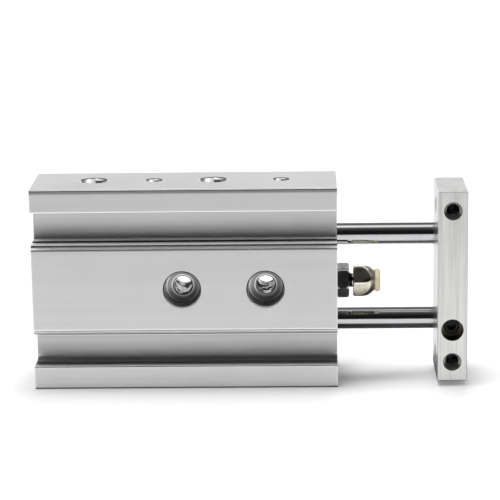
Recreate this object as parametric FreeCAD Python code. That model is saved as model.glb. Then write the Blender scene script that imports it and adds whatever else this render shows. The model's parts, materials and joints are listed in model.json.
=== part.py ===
"""Twin-rod guided pneumatic cylinder, 6 mm bore and 10 mm stroke, shown with its rods run out.

Frame: +X is the way the rods run out, +Z is up, and the cylinder stands on its lower narrow side.
The origin is the centre of that side. All sizes are in millimetres.
"""
import FreeCAD, Part
import math
import os

from FreeCAD import Vector

# Body
BODY_LENGTH = 55.3
BODY_DEPTH = 16.4
BODY_HEIGHT = 37.0
EDGE_ROUND = 0.3

# Sensor grooves and the raised pad between them, measured from the middle of the body's height
GROOVE_NEAR = 8.45
GROOVE_FAR = 14.2
GROOVE_DEPTH = 5.3
NOTCH_START = 2.4
NOTCH_WIDTH = 0.9
NOTCH_DEPTH = 0.45
GROOVE_FLOOR_ROUND = 0.3
PAD_HALF_HEIGHT = 7.5
PAD_ROUND = 0.15
PAD_CHAMFER_DEPTH = 0.45
PAD_CHAMFER_HEIGHT = 0.32
SHOULDER_DEPTH = 0.52
SHOULDER_ROUND = 0.5

# Bores and rods
ROD_SPACING = 16.0
BORE_Y = 1.5
BORE_DIAMETER = 6.0
COVER_DIAMETER = 7.0
ROD_DIAMETER = 4.0
ROD_END_CHAMFER = 0.3
LOWER_ROD_INSET = 0.4
UPPER_ROD_TAP_DEPTH = 5.4
ROD_FLAT_LENGTH = 3.4
ROD_FLAT_DEPTH = 0.15
DRILL_TIP = 0.5
HEAD_BORE_DEPTH = 8.4
ROD_END_BORE_DEPTH = 21.2
RING_SETBACK = 1.0
RING_THICKNESS = 0.8
RING_GROOVE_DIAMETER = 7.6
BORE_MOUTH_CHAMFER = 0.2

# Holes in the body, with X measured from the head end
THROUGH_HOLE_X = (27.2, 42.3)
THROUGH_HOLE_DIAMETER = 3.4
COUNTERBORE_DIAMETER = 6.5
COUNTERBORE_DEPTH = 2.85
COUNTERBORE_SEAT_FALL = 0.9
COUNTERBORE_RIM = 0.2
SIDE_HOLE_Y = 0.8
PORT_X = (11.0, 32.85)
PORT_DIAMETER = 5.0
PORT_MOUTH_DIAMETER = 5.3
PORT_DEPTH = 5.2
AIR_PASSAGE_DIAMETER = 2.0
SIDE_TAP_X = (22.0, 45.25)
M3_TAP_DIAMETER = 3.0
M3_MOUTH_DIAMETER = 3.3
SIDE_TAP_DEPTH = 5.0
DRILL_POINT_SLOPE = 0.58

# End plate
PLATE_GAP = 18.1
PLATE_THICKNESS = 5.4
PLATE_FRONT_Y = -7.8
PLATE_DEPTH = 14.0
PLATE_HEIGHT = 35.0
PLATE_EDGE_CHAMFER = 0.12
PLATE_TAP_SPACING = 28.0
PLATE_SIDE_TAP_DEPTH = 4.5
CLAMP_HOLE_DIAMETER = 4.05
CLAMP_HOLE_DEPTH = 2.8
CLAMP_THREAD_DIAMETER = 2.9
ROD_SOCKET_DEPTH = 2.2
ROD_MOUTH_CHAMFER = 0.3
PLATE_SCREW_SEAT_DIAMETER = 5.0
PLATE_SCREW_SEAT_DEPTH = 2.0
PLATE_SCREW_DIAMETER = 2.4
PLATE_SCREW_CLEARANCE = 0.1

# Return stop between the rods
STOP_Y = -1.7
STOP_CORE_DIAMETER = 2.5
STOP_HOLE_DIAMETER = 3.0
STOP_HOLE_DEPTH = 8.6
STOP_SHANK_LENGTH = 7.4
HEXAGON_ACROSS_FLATS = 5.5
HEXAGON_CORNER_RADIUS = 3.08
HEXAGON_FACE_RADIUS = 2.62
NUT_THICKNESS = 2.2
NUT_CROWN = 0.55
NUT_TURN = -14.0
CAP_START = 2.8
CAP_LENGTH = 4.15
CAP_PRISM_LENGTH = 2.45
CAP_FOOT_CHAMFER = 0.3
CAP_TURN = 4.9
CAP_NOSE_RADIUS = 2.0
CAP_DOME_MIDDLE = 0.5
CAP_DOME_DROP = 0.38
STOP_BUMPER_DIAMETER = 4.0
STOP_BUMPER_REACH = 0.9
STOP_BUMPER_ROUND = 0.22
STOP_BUMPER_STEM_DIAMETER = 2.8
STOP_BUMPER_STEM_LENGTH = 1.6

# Glands at the rod end, covers at the head end, and their O-rings
GLAND_SETBACK = 5.3
ROD_SEAL_LENGTH = 2.4
ROD_SEAL_VEE_DEPTH = 1.0
SEAL_WASHER_CLEARANCE = 0.15
GUIDE_RING_SETBACK = 2.0
O_RING_WIDTH = 1.2
O_RING_INNER_RADIUS = 2.7
COVER_RING_SETBACK = 2.6
COVER_DIMPLE_RADIUS = 1.5
COVER_DIMPLE_DEPTH = 1.2

# Retaining rings
RING_BAND_WIDTH = 0.75
RING_GAP = 1.3
RING_EAR_DIAMETER = 1.0
RING_EAR_HOLE_DIAMETER = 0.5
RING_EAR_SIDE = 1.15
RING_EAR_RISE = 2.75

# Rubber bumpers in the bores
BORE_BUMPER_RADIUS = 2.6
BORE_BUMPER_CHAMFER = 0.3
HEAD_BUMPER_THICKNESS = 1.2

# Plugs in the unused ports
PLUG_RECESS = 0.6
PLUG_LENGTH = 3.6
PLUG_SOCKET = 2.0
PLUG_SOCKET_DEPTH = 2.0

# Running clearances on the radius
ROD_CLEARANCE = 0.025
PISTON_CLEARANCE = 0.04
SEAL_CLEARANCE = 0.02
STOP_BUMPER_CLEARANCE = 0.03

# Positions that follow from the sizes above
HEAD_X = -BODY_LENGTH / 2
ROD_END_X = BODY_LENGTH / 2
FRONT_Y = -BODY_DEPTH / 2
BACK_Y = BODY_DEPTH / 2
MIDDLE_Z = BODY_HEIGHT / 2
PLATE_INNER_X = ROD_END_X + PLATE_GAP
PLATE_OUTER_X = PLATE_INNER_X + PLATE_THICKNESS
PLATE_MIDDLE_X = (PLATE_INNER_X + PLATE_OUTER_X) / 2
PLATE_MIDDLE_Y = PLATE_FRONT_Y + PLATE_DEPTH / 2
ROD_Z = {"upper": MIDDLE_Z + ROD_SPACING / 2, "lower": MIDDLE_Z - ROD_SPACING / 2}
GUIDE_START_X = ROD_END_X - ROD_END_BORE_DEPTH
GUIDE_END_X = ROD_END_X - GLAND_SETBACK
GUIDE_RING_START_X = GUIDE_START_X + GUIDE_RING_SETBACK
ROD_SEAL_END_X = GUIDE_END_X + ROD_SEAL_LENGTH
HEAD_COVER_BACK_X = HEAD_X + RING_SETBACK + RING_THICKNESS
HEAD_COVER_FRONT_X = HEAD_X + HEAD_BORE_DEPTH
HEAD_RING_START_X = HEAD_COVER_BACK_X + COVER_RING_SETBACK

# Piston stack, from the guide back towards the head end
BUMPER_GAP = 0.2
PISTON_BUMPER_LENGTH = 2.0
PISTON_LENGTH = 9.5
PISTON_BODY_LENGTH = 6.6
RETAINER_LENGTH = 2.6
RETAINER_RIM_LENGTH = 0.8
RETAINER_BOSS_RADIUS = 2.5
RETAINER_SEAT_RADIUS = 2.0
RETAINER_SEAT_DEPTH = 1.1
PISTON_SPIGOT_RADIUS = 1.9
MAGNET_RADIUS = 2.85
SEAL_GROOVE_SETBACK = 2.2
SEAL_GROOVE_WIDTH = 1.7
SEAL_GROOVE_RADIUS = 2.2
SEAL_SIDE_CLEARANCE = 0.1
SEAL_VEE_DEPTH = 0.3
SHOULDER_INSET = 1.0
ROD_TAIL_DIAMETER = 2.6
ROD_TAIL_INSET = 0.2
ROD_TAIL_TAP_DEPTH = 4.2
PISTON_SCREW_DIAMETER = 1.6
PISTON_SCREW_CLEARANCE = 0.05
PISTON_FRONT_X = GUIDE_START_X - BUMPER_GAP - PISTON_BUMPER_LENGTH
PISTON_BACK_X = PISTON_FRONT_X - PISTON_LENGTH
PISTON_STEP_X = PISTON_FRONT_X - PISTON_BODY_LENGTH
RETAINER_BACK_X = PISTON_BACK_X - RETAINER_LENGTH
ROD_SHOULDER_X = PISTON_FRONT_X - SHOULDER_INSET


def bar_x(start, end, diameter, y, z):
    """Round bar along +X."""
    return Part.makeCylinder(diameter / 2, end - start, Vector(start, y, z), Vector(1, 0, 0))


def turned_x(profile, y, z):
    """Solid of revolution about the line parallel to X through (y, z), from (x, radius) corners."""
    corners = [Vector(x, y, z + radius) for x, radius in profile]
    face = Part.Face(Part.makePolygon(corners + corners[:1]))
    return face.revolve(Vector(0, y, z), Vector(1, 0, 0), 360)


def turned_about(profile, base, direction):
    """Solid of revolution from (distance, radius) corners, set out from base along direction."""
    solid = turned_x(profile, 0, 0)
    solid.Placement = FreeCAD.Placement(base, FreeCAD.Rotation(Vector(1, 0, 0), direction))
    return solid


def hex_bar_x(start, end, across_flats, turn, y, z):
    """Six-sided bar along +X, with one corner turned by so many degrees from -Y towards +Z."""
    radius = across_flats / math.sqrt(3)
    corners = []
    for step in range(6):
        angle = math.radians(turn + 60 * step)
        corners.append(Vector(start, y - radius * math.cos(angle), z + radius * math.sin(angle)))
    face = Part.Face(Part.makePolygon(corners + corners[:1]))
    return face.extrude(Vector(end - start, 0, 0))


def rounded_outline(corners):
    """Closed wire in the YZ plane at X = 0 through (y, z, radius) corners, rounded where radius > 0."""
    edges = []
    ends = []
    count = len(corners)
    for index, (y, z, radius) in enumerate(corners):
        corner = Vector(0, y, z)
        back = Vector(0, *corners[index - 1][:2]).sub(corner).normalize()
        ahead = Vector(0, *corners[(index + 1) % count][:2]).sub(corner).normalize()
        if radius == 0:
            ends.append((corner, corner))
            continue
        half_angle = back.getAngle(ahead) / 2
        reach = radius / math.tan(half_angle)
        middle_direction = back.add(ahead).normalize()
        middle = corner + middle_direction * (radius / math.sin(half_angle) - radius)
        start = corner + back * reach
        end = corner + ahead * reach
        edges.append(Part.Arc(start, middle, end).toShape())
        ends.append((start, end))
    for index in range(count):
        edges.append(Part.makeLine(ends[index - 1][1], ends[index][0]))
    return Part.Wire(Part.__sortEdges__(edges))


def tapped_hole(mouth, direction, diameter, mouth_diameter, depth):
    """Cutter for a blind drilled hole with a chamfered mouth, running from mouth along direction."""
    radius = diameter / 2
    mouth_radius = mouth_diameter / 2
    chamfer = mouth_radius - radius
    drill_tip = radius * DRILL_POINT_SLOPE
    over = 0.5
    profile = [
        (-over, 0), (-over, mouth_radius), (0, mouth_radius), (chamfer, radius),
        (depth, radius), (depth + drill_tip, 0),
    ]
    return turned_about(profile, mouth, direction)


def body_outline():
    """Section of the extrusion: a flat back, and a front with two sensor grooves and a raised pad."""
    notch_near = FRONT_Y + NOTCH_START
    notch_far = notch_near + NOTCH_WIDTH
    floor = FRONT_Y + GROOVE_DEPTH
    upper_half = [
        (FRONT_Y, PAD_HALF_HEIGHT, PAD_ROUND),
        (FRONT_Y + PAD_CHAMFER_DEPTH, PAD_HALF_HEIGHT + PAD_CHAMFER_HEIGHT, 0.0),
        (FRONT_Y + SHOULDER_DEPTH, GROOVE_NEAR, SHOULDER_ROUND),
        (notch_near, GROOVE_NEAR, 0.0),
        (notch_near, GROOVE_NEAR - NOTCH_DEPTH, 0.0),
        (notch_far, GROOVE_NEAR - NOTCH_DEPTH, 0.0),
        (notch_far, GROOVE_NEAR, 0.0),
        (floor, GROOVE_NEAR, GROOVE_FLOOR_ROUND),
        (floor, GROOVE_FAR, GROOVE_FLOOR_ROUND),
        (notch_far, GROOVE_FAR, 0.0),
        (notch_far, GROOVE_FAR + NOTCH_DEPTH, 0.0),
        (notch_near, GROOVE_FAR + NOTCH_DEPTH, 0.0),
        (notch_near, GROOVE_FAR, 0.0),
        (FRONT_Y, GROOVE_FAR, EDGE_ROUND),
        (FRONT_Y, BODY_HEIGHT / 2, EDGE_ROUND),
        (BACK_Y, BODY_HEIGHT / 2, EDGE_ROUND),
    ]
    lower_half = [(y, -z, radius) for y, z, radius in reversed(upper_half)]
    return rounded_outline([(y, MIDDLE_Z + z, radius) for y, z, radius in upper_half + lower_half])


def bore_cutter(z):
    """Stepped bore for one piston, with a seat and a ring groove at each end."""
    bore = BORE_DIAMETER / 2
    seat = COVER_DIAMETER / 2
    groove = RING_GROOVE_DIAMETER / 2
    mouth = seat + BORE_MOUTH_CHAMFER
    half = [(GUIDE_START_X, seat)]
    for near, far in ((ROD_END_X, -1), (HEAD_X, 1)):
        ring = near + far * RING_SETBACK
        ring_end = ring + far * RING_THICKNESS
        side = [
            (ring_end, seat), (ring_end, groove), (ring, groove), (ring, seat),
            (near + far * BORE_MOUTH_CHAMFER, seat), (near, mouth), (near - far, mouth), (near - far, 0),
        ]
        half.extend(side if far < 0 else reversed(side))
    half.extend([(HEAD_X + HEAD_BORE_DEPTH, seat), (HEAD_X + HEAD_BORE_DEPTH, bore), (GUIDE_START_X, bore)])
    return turned_x(half, BORE_Y, z)


def through_hole_cutter(x):
    """Bolt hole along Y, opened out from both faces with a drill, so its seats are conical."""
    hole = THROUGH_HOLE_DIAMETER / 2
    seat = COUNTERBORE_DIAMETER / 2
    rim = COUNTERBORE_RIM
    over = 1.0
    front_side = [
        (-over, seat + rim), (0, seat + rim), (rim, seat), (COUNTERBORE_DEPTH, seat),
        (COUNTERBORE_DEPTH + COUNTERBORE_SEAT_FALL, hole),
    ]
    back_side = [(BODY_DEPTH - distance, radius) for distance, radius in reversed(front_side)]
    profile = [(-over, 0)] + front_side + back_side + [(BODY_DEPTH + over, 0)]
    return turned_about(profile, Vector(x, FRONT_Y, MIDDLE_Z), Vector(0, 1, 0))


def housing():
    """Extruded body with its bores, ports, bolt holes and the tapped hole for the return stop."""
    body = Part.Face(body_outline()).extrude(Vector(BODY_LENGTH, 0, 0))
    body.translate(Vector(HEAD_X, 0, 0))
    cutters = [bore_cutter(z) for z in ROD_Z.values()]
    cutters.extend(through_hole_cutter(HEAD_X + x) for x in THROUGH_HOLE_X)
    for side_z, inward in ((BODY_HEIGHT, Vector(0, 0, -1)), (0, Vector(0, 0, 1))):
        for x in PORT_X:
            mouth = Vector(HEAD_X + x, SIDE_HOLE_Y, side_z)
            cutters.append(tapped_hole(mouth, inward, PORT_DIAMETER, PORT_MOUTH_DIAMETER, PORT_DEPTH))
        for x in SIDE_TAP_X:
            mouth = Vector(HEAD_X + x, SIDE_HOLE_Y, side_z)
            cutters.append(tapped_hole(mouth, inward, M3_TAP_DIAMETER, M3_MOUTH_DIAMETER, SIDE_TAP_DEPTH))
    for x in PORT_X:
        passage_start = Vector(HEAD_X + x, SIDE_HOLE_Y, PORT_DEPTH)
        passage_length = BODY_HEIGHT - 2 * PORT_DEPTH
        cutters.append(Part.makeCylinder(AIR_PASSAGE_DIAMETER / 2, passage_length, passage_start))
    stop_mouth = Vector(ROD_END_X, STOP_Y, MIDDLE_Z)
    cutters.append(tapped_hole(stop_mouth, Vector(-1, 0, 0), STOP_HOLE_DIAMETER, M3_MOUTH_DIAMETER,
                               STOP_HOLE_DEPTH))
    for cutter in cutters:
        body = body.cut(cutter)
    return body.removeSplitter()


def end_plate():
    """Plate that joins the two rods, tapped to carry the load."""
    plate = Part.makeBox(PLATE_THICKNESS, PLATE_DEPTH, PLATE_HEIGHT)
    plate.translate(Vector(PLATE_INNER_X, PLATE_FRONT_Y, MIDDLE_Z - PLATE_HEIGHT / 2))
    plate = plate.makeChamfer(PLATE_EDGE_CHAMFER, plate.Edges)
    rod = ROD_DIAMETER / 2
    chamfer = ROD_MOUTH_CHAMFER
    inward = Vector(1, 0, 0)
    screw_hole = PLATE_SCREW_DIAMETER / 2 + PLATE_SCREW_CLEARANCE
    upper_socket = [
        (-1, 0), (-1, rod + chamfer), (0, rod + chamfer), (chamfer, rod), (ROD_SOCKET_DEPTH, rod),
        (ROD_SOCKET_DEPTH, screw_hole), (PLATE_THICKNESS - PLATE_SCREW_SEAT_DEPTH, screw_hole),
        (PLATE_THICKNESS - PLATE_SCREW_SEAT_DEPTH, PLATE_SCREW_SEAT_DIAMETER / 2),
        (PLATE_THICKNESS + 1, PLATE_SCREW_SEAT_DIAMETER / 2), (PLATE_THICKNESS + 1, 0),
    ]
    lower_bore = [
        (-1, 0), (-1, rod + chamfer), (0, rod + chamfer), (chamfer, rod), (PLATE_THICKNESS - chamfer, rod),
        (PLATE_THICKNESS, rod + chamfer), (PLATE_THICKNESS + 1, rod + chamfer), (PLATE_THICKNESS + 1, 0),
    ]
    cutters = [
        turned_about(upper_socket, Vector(PLATE_INNER_X, BORE_Y, ROD_Z["upper"]), inward),
        turned_about(lower_bore, Vector(PLATE_INNER_X, BORE_Y, ROD_Z["lower"]), inward),
    ]
    tap = M3_TAP_DIAMETER / 2
    tap_mouth = M3_MOUTH_DIAMETER / 2
    tap_chamfer = tap_mouth - tap
    face_tap = [
        (-1, 0), (-1, tap_mouth), (0, tap_mouth), (tap_chamfer, tap), (PLATE_THICKNESS - tap_chamfer, tap),
        (PLATE_THICKNESS, tap_mouth), (PLATE_THICKNESS + 1, tap_mouth), (PLATE_THICKNESS + 1, 0),
    ]
    for side in (-1, 1):
        z = MIDDLE_Z + side * PLATE_TAP_SPACING / 2
        cutters.append(turned_about(face_tap, Vector(PLATE_INNER_X, PLATE_MIDDLE_Y, z), inward))
        side_mouth = Vector(PLATE_MIDDLE_X, PLATE_FRONT_Y, z)
        cutters.append(tapped_hole(side_mouth, Vector(0, 1, 0), M3_TAP_DIAMETER, M3_MOUTH_DIAMETER,
                                   PLATE_SIDE_TAP_DEPTH))
    thread = CLAMP_THREAD_DIAMETER / 2
    clamp = CLAMP_HOLE_DIAMETER / 2
    clamp_hole = [
        (-1, 0), (-1, clamp), (CLAMP_HOLE_DEPTH, clamp), (CLAMP_HOLE_DEPTH, thread),
        (BORE_Y - PLATE_FRONT_Y, thread), (BORE_Y - PLATE_FRONT_Y, 0),
    ]
    clamp_base = Vector(PLATE_MIDDLE_X, PLATE_FRONT_Y, ROD_Z["lower"])
    cutters.append(turned_about(clamp_hole, clamp_base, Vector(0, 1, 0)))
    for cutter in cutters:
        plate = plate.cut(cutter)
    return plate


def rod(which):
    """Piston rod with a tapped tail that carries the piston. Its outer end fits the end plate."""
    radius = ROD_DIAMETER / 2
    tail = ROD_TAIL_DIAMETER / 2
    tail_end = PISTON_BACK_X + ROD_TAIL_INSET
    screw = PISTON_SCREW_DIAMETER / 2
    tap_end = tail_end + ROD_TAIL_TAP_DEPTH
    plate_end = PLATE_INNER_X + ROD_SOCKET_DEPTH if which == "upper" else PLATE_OUTER_X - LOWER_ROD_INSET
    chamfer = ROD_END_CHAMFER
    profile = [
        (tail_end, screw), (tail_end, tail), (ROD_SHOULDER_X, tail), (ROD_SHOULDER_X, radius),
        (plate_end - chamfer, radius), (plate_end, radius - chamfer),
    ]
    if which == "upper":
        screw_hole = PLATE_SCREW_DIAMETER / 2
        screw_end = plate_end - UPPER_ROD_TAP_DEPTH
        profile.extend([(plate_end, screw_hole), (screw_end, screw_hole), (screw_end - DRILL_TIP, 0)])
    else:
        profile.append((plate_end, 0))
    profile.extend([(tap_end + DRILL_TIP, 0), (tap_end, screw)])
    shape = turned_x(profile, BORE_Y, ROD_Z[which])
    if which == "lower":
        flat = Part.makeBox(ROD_FLAT_LENGTH, 1.0, ROD_DIAMETER)
        flat_y = BORE_Y - radius + ROD_FLAT_DEPTH - 1.0
        flat.translate(Vector(PLATE_MIDDLE_X - ROD_FLAT_LENGTH / 2, flat_y, ROD_Z[which] - radius))
        shape = shape.cut(flat)
    return shape


def piston(which):
    """Front half of the piston: a body with the seal groove and a spigot for the magnet."""
    body = BORE_DIAMETER / 2 - PISTON_CLEARANCE
    spigot = PISTON_SPIGOT_RADIUS
    bore = ROD_TAIL_DIAMETER / 2
    groove_front = PISTON_FRONT_X - SEAL_GROOVE_SETBACK
    groove_back = groove_front - SEAL_GROOVE_WIDTH
    groove = SEAL_GROOVE_RADIUS
    profile = [
        (PISTON_BACK_X, bore), (PISTON_BACK_X, spigot), (PISTON_STEP_X, spigot), (PISTON_STEP_X, body),
        (groove_back, body), (groove_back, groove), (groove_front, groove), (groove_front, body),
        (PISTON_FRONT_X, body), (PISTON_FRONT_X, ROD_DIAMETER / 2), (ROD_SHOULDER_X, ROD_DIAMETER / 2),
        (ROD_SHOULDER_X, bore),
    ]
    return turned_x(profile, BORE_Y, ROD_Z[which])


def piston_seal(which):
    """Lip seal in the piston's groove, with a shallow vee between its two lips."""
    lip = BORE_DIAMETER / 2 - SEAL_CLEARANCE
    front = PISTON_FRONT_X - SEAL_GROOVE_SETBACK - SEAL_SIDE_CLEARANCE
    back = PISTON_FRONT_X - SEAL_GROOVE_SETBACK - SEAL_GROOVE_WIDTH + SEAL_SIDE_CLEARANCE
    middle = (front + back) / 2
    groove = SEAL_GROOVE_RADIUS
    profile = [(back, groove), (back, lip), (middle, lip - SEAL_VEE_DEPTH), (front, lip), (front, groove)]
    return turned_x(profile, BORE_Y, ROD_Z[which])


def magnet(which):
    """Ring magnet that works the sensors in the grooves."""
    inner = PISTON_SPIGOT_RADIUS
    outer = MAGNET_RADIUS
    profile = [(PISTON_BACK_X, inner), (PISTON_BACK_X, outer), (PISTON_STEP_X, outer), (PISTON_STEP_X, inner)]
    return turned_x(profile, BORE_Y, ROD_Z[which])


def magnet_retainer(which):
    """Rear half of the piston, which clamps the magnet and takes the screw's head."""
    rim = BORE_DIAMETER / 2 - PISTON_CLEARANCE
    boss = RETAINER_BOSS_RADIUS
    seat = RETAINER_SEAT_RADIUS
    hole = PISTON_SCREW_DIAMETER / 2 + PISTON_SCREW_CLEARANCE
    seat_x = PISTON_BACK_X - RETAINER_SEAT_DEPTH
    rim_x = PISTON_BACK_X - RETAINER_RIM_LENGTH
    profile = [
        (PISTON_BACK_X, hole), (PISTON_BACK_X, rim), (rim_x, rim), (rim_x, boss), (RETAINER_BACK_X, boss),
        (RETAINER_BACK_X, seat), (seat_x, seat), (seat_x, hole),
    ]
    return turned_x(profile, BORE_Y, ROD_Z[which])


def socket_screw_x(seat_x, outward, head_radius, head_height, shank_radius, shank_length, socket, y, z):
    """Socket-head screw along X. Its head stands on seat_x and points outward (+1 or -1)."""
    chamfer = 0.15
    socket_floor = 0.4 * head_height
    profile = [
        (-shank_length, 0), (-shank_length, shank_radius), (0, shank_radius), (0, head_radius),
        (head_height - chamfer, head_radius), (head_height, head_radius - chamfer), (head_height, 0),
    ]
    solid = turned_about(profile, Vector(0, 0, 0), Vector(1, 0, 0))
    solid = solid.cut(hex_bar_x(socket_floor, head_height + 1, socket, 0, 0, 0))
    if outward < 0:
        solid.rotate(Vector(0, 0, 0), Vector(0, 0, 1), 180)
    solid.translate(Vector(seat_x, y, z))
    return solid


def piston_screw(which):
    """Screw in the rod's tail that holds the piston together."""
    return socket_screw_x(
        seat_x=PISTON_BACK_X - RETAINER_SEAT_DEPTH, outward=-1, head_radius=1.9, head_height=1.3,
        shank_radius=PISTON_SCREW_DIAMETER / 2, shank_length=5.0, socket=1.5, y=BORE_Y, z=ROD_Z[which])


def piston_bumper(which):
    """Rubber ring on the rod that meets the guide when the rods are right out."""
    start = PISTON_FRONT_X
    end = PISTON_FRONT_X + PISTON_BUMPER_LENGTH
    inner = ROD_DIAMETER / 2
    outer = BORE_BUMPER_RADIUS
    chamfer = BORE_BUMPER_CHAMFER
    profile = [(start, inner), (start, outer), (end - chamfer, outer), (end, outer - chamfer), (end, inner)]
    return turned_x(profile, BORE_Y, ROD_Z[which])


def rod_guide(which):
    """Gland with a plain bearing for the rod and an outer groove for its O-ring."""
    outer = COVER_DIAMETER / 2
    bore = ROD_DIAMETER / 2 + ROD_CLEARANCE
    ring_end = GUIDE_RING_START_X + O_RING_WIDTH
    profile = [
        (GUIDE_START_X, bore), (GUIDE_START_X, outer), (GUIDE_RING_START_X, outer),
        (GUIDE_RING_START_X, O_RING_INNER_RADIUS), (ring_end, O_RING_INNER_RADIUS), (ring_end, outer),
        (GUIDE_END_X, outer), (GUIDE_END_X, bore),
    ]
    return turned_x(profile, BORE_Y, ROD_Z[which])


def o_ring(start_x, z):
    """O-ring squeezed into its groove, which it fills."""
    end_x = start_x + O_RING_WIDTH
    outer = COVER_DIAMETER / 2
    inner = O_RING_INNER_RADIUS
    profile = [(start_x, inner), (start_x, outer), (end_x, outer), (end_x, inner)]
    return turned_x(profile, BORE_Y, z)


def guide_o_ring(which):
    """O-ring round the rod guide."""
    return o_ring(GUIDE_RING_START_X, ROD_Z[which])


def rod_seal(which):
    """Cup seal in front of the guide, open towards the pressure side."""
    outer = COVER_DIAMETER / 2
    lip = ROD_DIAMETER / 2 + SEAL_CLEARANCE
    profile = [
        (GUIDE_END_X, lip), (GUIDE_END_X + ROD_SEAL_VEE_DEPTH, (lip + outer) / 2), (GUIDE_END_X, outer),
        (ROD_SEAL_END_X, outer), (ROD_SEAL_END_X, lip),
    ]
    return turned_x(profile, BORE_Y, ROD_Z[which])


def seal_washer(which):
    """Washer that backs up the rod seal."""
    outer = COVER_DIAMETER / 2
    inner = ROD_DIAMETER / 2 + SEAL_WASHER_CLEARANCE
    end = ROD_END_X - RING_SETBACK - RING_THICKNESS
    profile = [(ROD_SEAL_END_X, inner), (ROD_SEAL_END_X, outer), (end, outer), (end, inner)]
    return turned_x(profile, BORE_Y, ROD_Z[which])


def retaining_ring(start_x, z):
    """Internal retaining ring: an open ring that thickens into two pierced ears."""
    end_x = start_x + RING_THICKNESS
    ring = bar_x(start_x, end_x, RING_GROOVE_DIAMETER, BORE_Y, z)
    inner_diameter = RING_GROOVE_DIAMETER - 2 * RING_BAND_WIDTH
    ring = ring.cut(bar_x(start_x - 1, end_x + 1, inner_diameter, BORE_Y, z))
    gap = Part.makeBox(RING_THICKNESS + 2, RING_GAP, RING_GROOVE_DIAMETER)
    gap.translate(Vector(start_x - 1, BORE_Y - RING_GAP / 2, z))
    ring = ring.cut(gap)
    for side in (-1, 1):
        ear_y = BORE_Y + side * RING_EAR_SIDE
        ear_z = z + RING_EAR_RISE
        ear = bar_x(start_x, end_x, RING_EAR_DIAMETER, ear_y, ear_z)
        ring = ring.fuse(ear)
        ring = ring.cut(bar_x(start_x - 1, end_x + 1, RING_EAR_HOLE_DIAMETER, ear_y, ear_z))
    return ring.removeSplitter()


def rod_end_ring(which):
    """Retaining ring at the rod end."""
    return retaining_ring(ROD_END_X - RING_SETBACK - RING_THICKNESS, ROD_Z[which])


def head_cover(which):
    """Plug that closes the bore at the head end, with a groove for its O-ring."""
    outer = COVER_DIAMETER / 2
    dimple = COVER_DIMPLE_RADIUS
    dimple_x = HEAD_COVER_BACK_X + COVER_DIMPLE_DEPTH
    ring_end = HEAD_RING_START_X + O_RING_WIDTH
    profile = [
        (HEAD_COVER_BACK_X, dimple), (HEAD_COVER_BACK_X, outer), (HEAD_RING_START_X, outer),
        (HEAD_RING_START_X, O_RING_INNER_RADIUS), (ring_end, O_RING_INNER_RADIUS), (ring_end, outer),
        (HEAD_COVER_FRONT_X, outer), (HEAD_COVER_FRONT_X, 0), (dimple_x, 0), (dimple_x, dimple),
    ]
    return turned_x(profile, BORE_Y, ROD_Z[which])


def head_o_ring(which):
    """O-ring round the head cover."""
    return o_ring(HEAD_RING_START_X, ROD_Z[which])


def head_bumper(which):
    """Rubber disc on the head cover that meets the piston when the rods are right in."""
    back = HEAD_COVER_FRONT_X
    front = back + HEAD_BUMPER_THICKNESS
    outer = BORE_BUMPER_RADIUS
    chamfer = BORE_BUMPER_CHAMFER
    profile = [(back, 0), (back, outer), (front - chamfer, outer), (front, outer - chamfer), (front, 0)]
    return turned_x(profile, BORE_Y, ROD_Z[which])


def head_end_ring(which):
    """Retaining ring at the head end."""
    return retaining_ring(HEAD_X + RING_SETBACK, ROD_Z[which])


def port_plug(x):
    """Socket plug in the unused port of the lower narrow side, set just below its surface."""
    radius = PORT_DIAMETER / 2
    chamfer = 0.2
    top = PLUG_RECESS + PLUG_LENGTH
    profile = [
        (PLUG_RECESS, 0), (PLUG_RECESS, radius - chamfer), (PLUG_RECESS + chamfer, radius), (top, radius),
        (top, 0),
    ]
    plug = turned_about(profile, Vector(x, SIDE_HOLE_Y, 0), Vector(0, 0, 1))
    socket = hex_bar_x(PLUG_RECESS - 1, PLUG_RECESS + PLUG_SOCKET_DEPTH, PLUG_SOCKET, 0, 0, 0)
    upwards = FreeCAD.Rotation(Vector(1, 0, 0), Vector(0, 0, 1))
    socket.Placement = FreeCAD.Placement(Vector(x, SIDE_HOLE_Y, 0), upwards)
    return plug.cut(socket)


def plate_screw():
    """Cap screw through the end plate into the upper rod."""
    return socket_screw_x(
        seat_x=PLATE_OUTER_X - PLATE_SCREW_SEAT_DEPTH, outward=1, head_radius=2.3, head_height=1.8,
        shank_radius=PLATE_SCREW_DIAMETER / 2, shank_length=5.6, socket=2.0, y=BORE_Y, z=ROD_Z["upper"])


def rod_set_screw():
    """Set screw in the side of the end plate that clamps the lower rod on its flat."""
    radius = CLAMP_THREAD_DIAMETER / 2
    top_y = PLATE_FRONT_Y + CLAMP_HOLE_DEPTH
    length = BORE_Y - ROD_DIAMETER / 2 + ROD_FLAT_DEPTH - top_y
    chamfer = 0.2
    point = 0.4
    socket_size = 1.5
    socket_depth = 1.6
    profile = [
        (0, 0), (0, radius - chamfer), (chamfer, radius), (length - point, radius),
        (length, radius - point), (length, 0),
    ]
    base = Vector(PLATE_MIDDLE_X, top_y, ROD_Z["lower"])
    screw = turned_about(profile, base, Vector(0, 1, 0))
    socket = hex_bar_x(-1, socket_depth, socket_size, 0, 0, 0)
    backwards = FreeCAD.Rotation(Vector(1, 0, 0), Vector(0, 1, 0))
    socket.Placement = FreeCAD.Placement(base, backwards)
    return screw.cut(socket)


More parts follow.
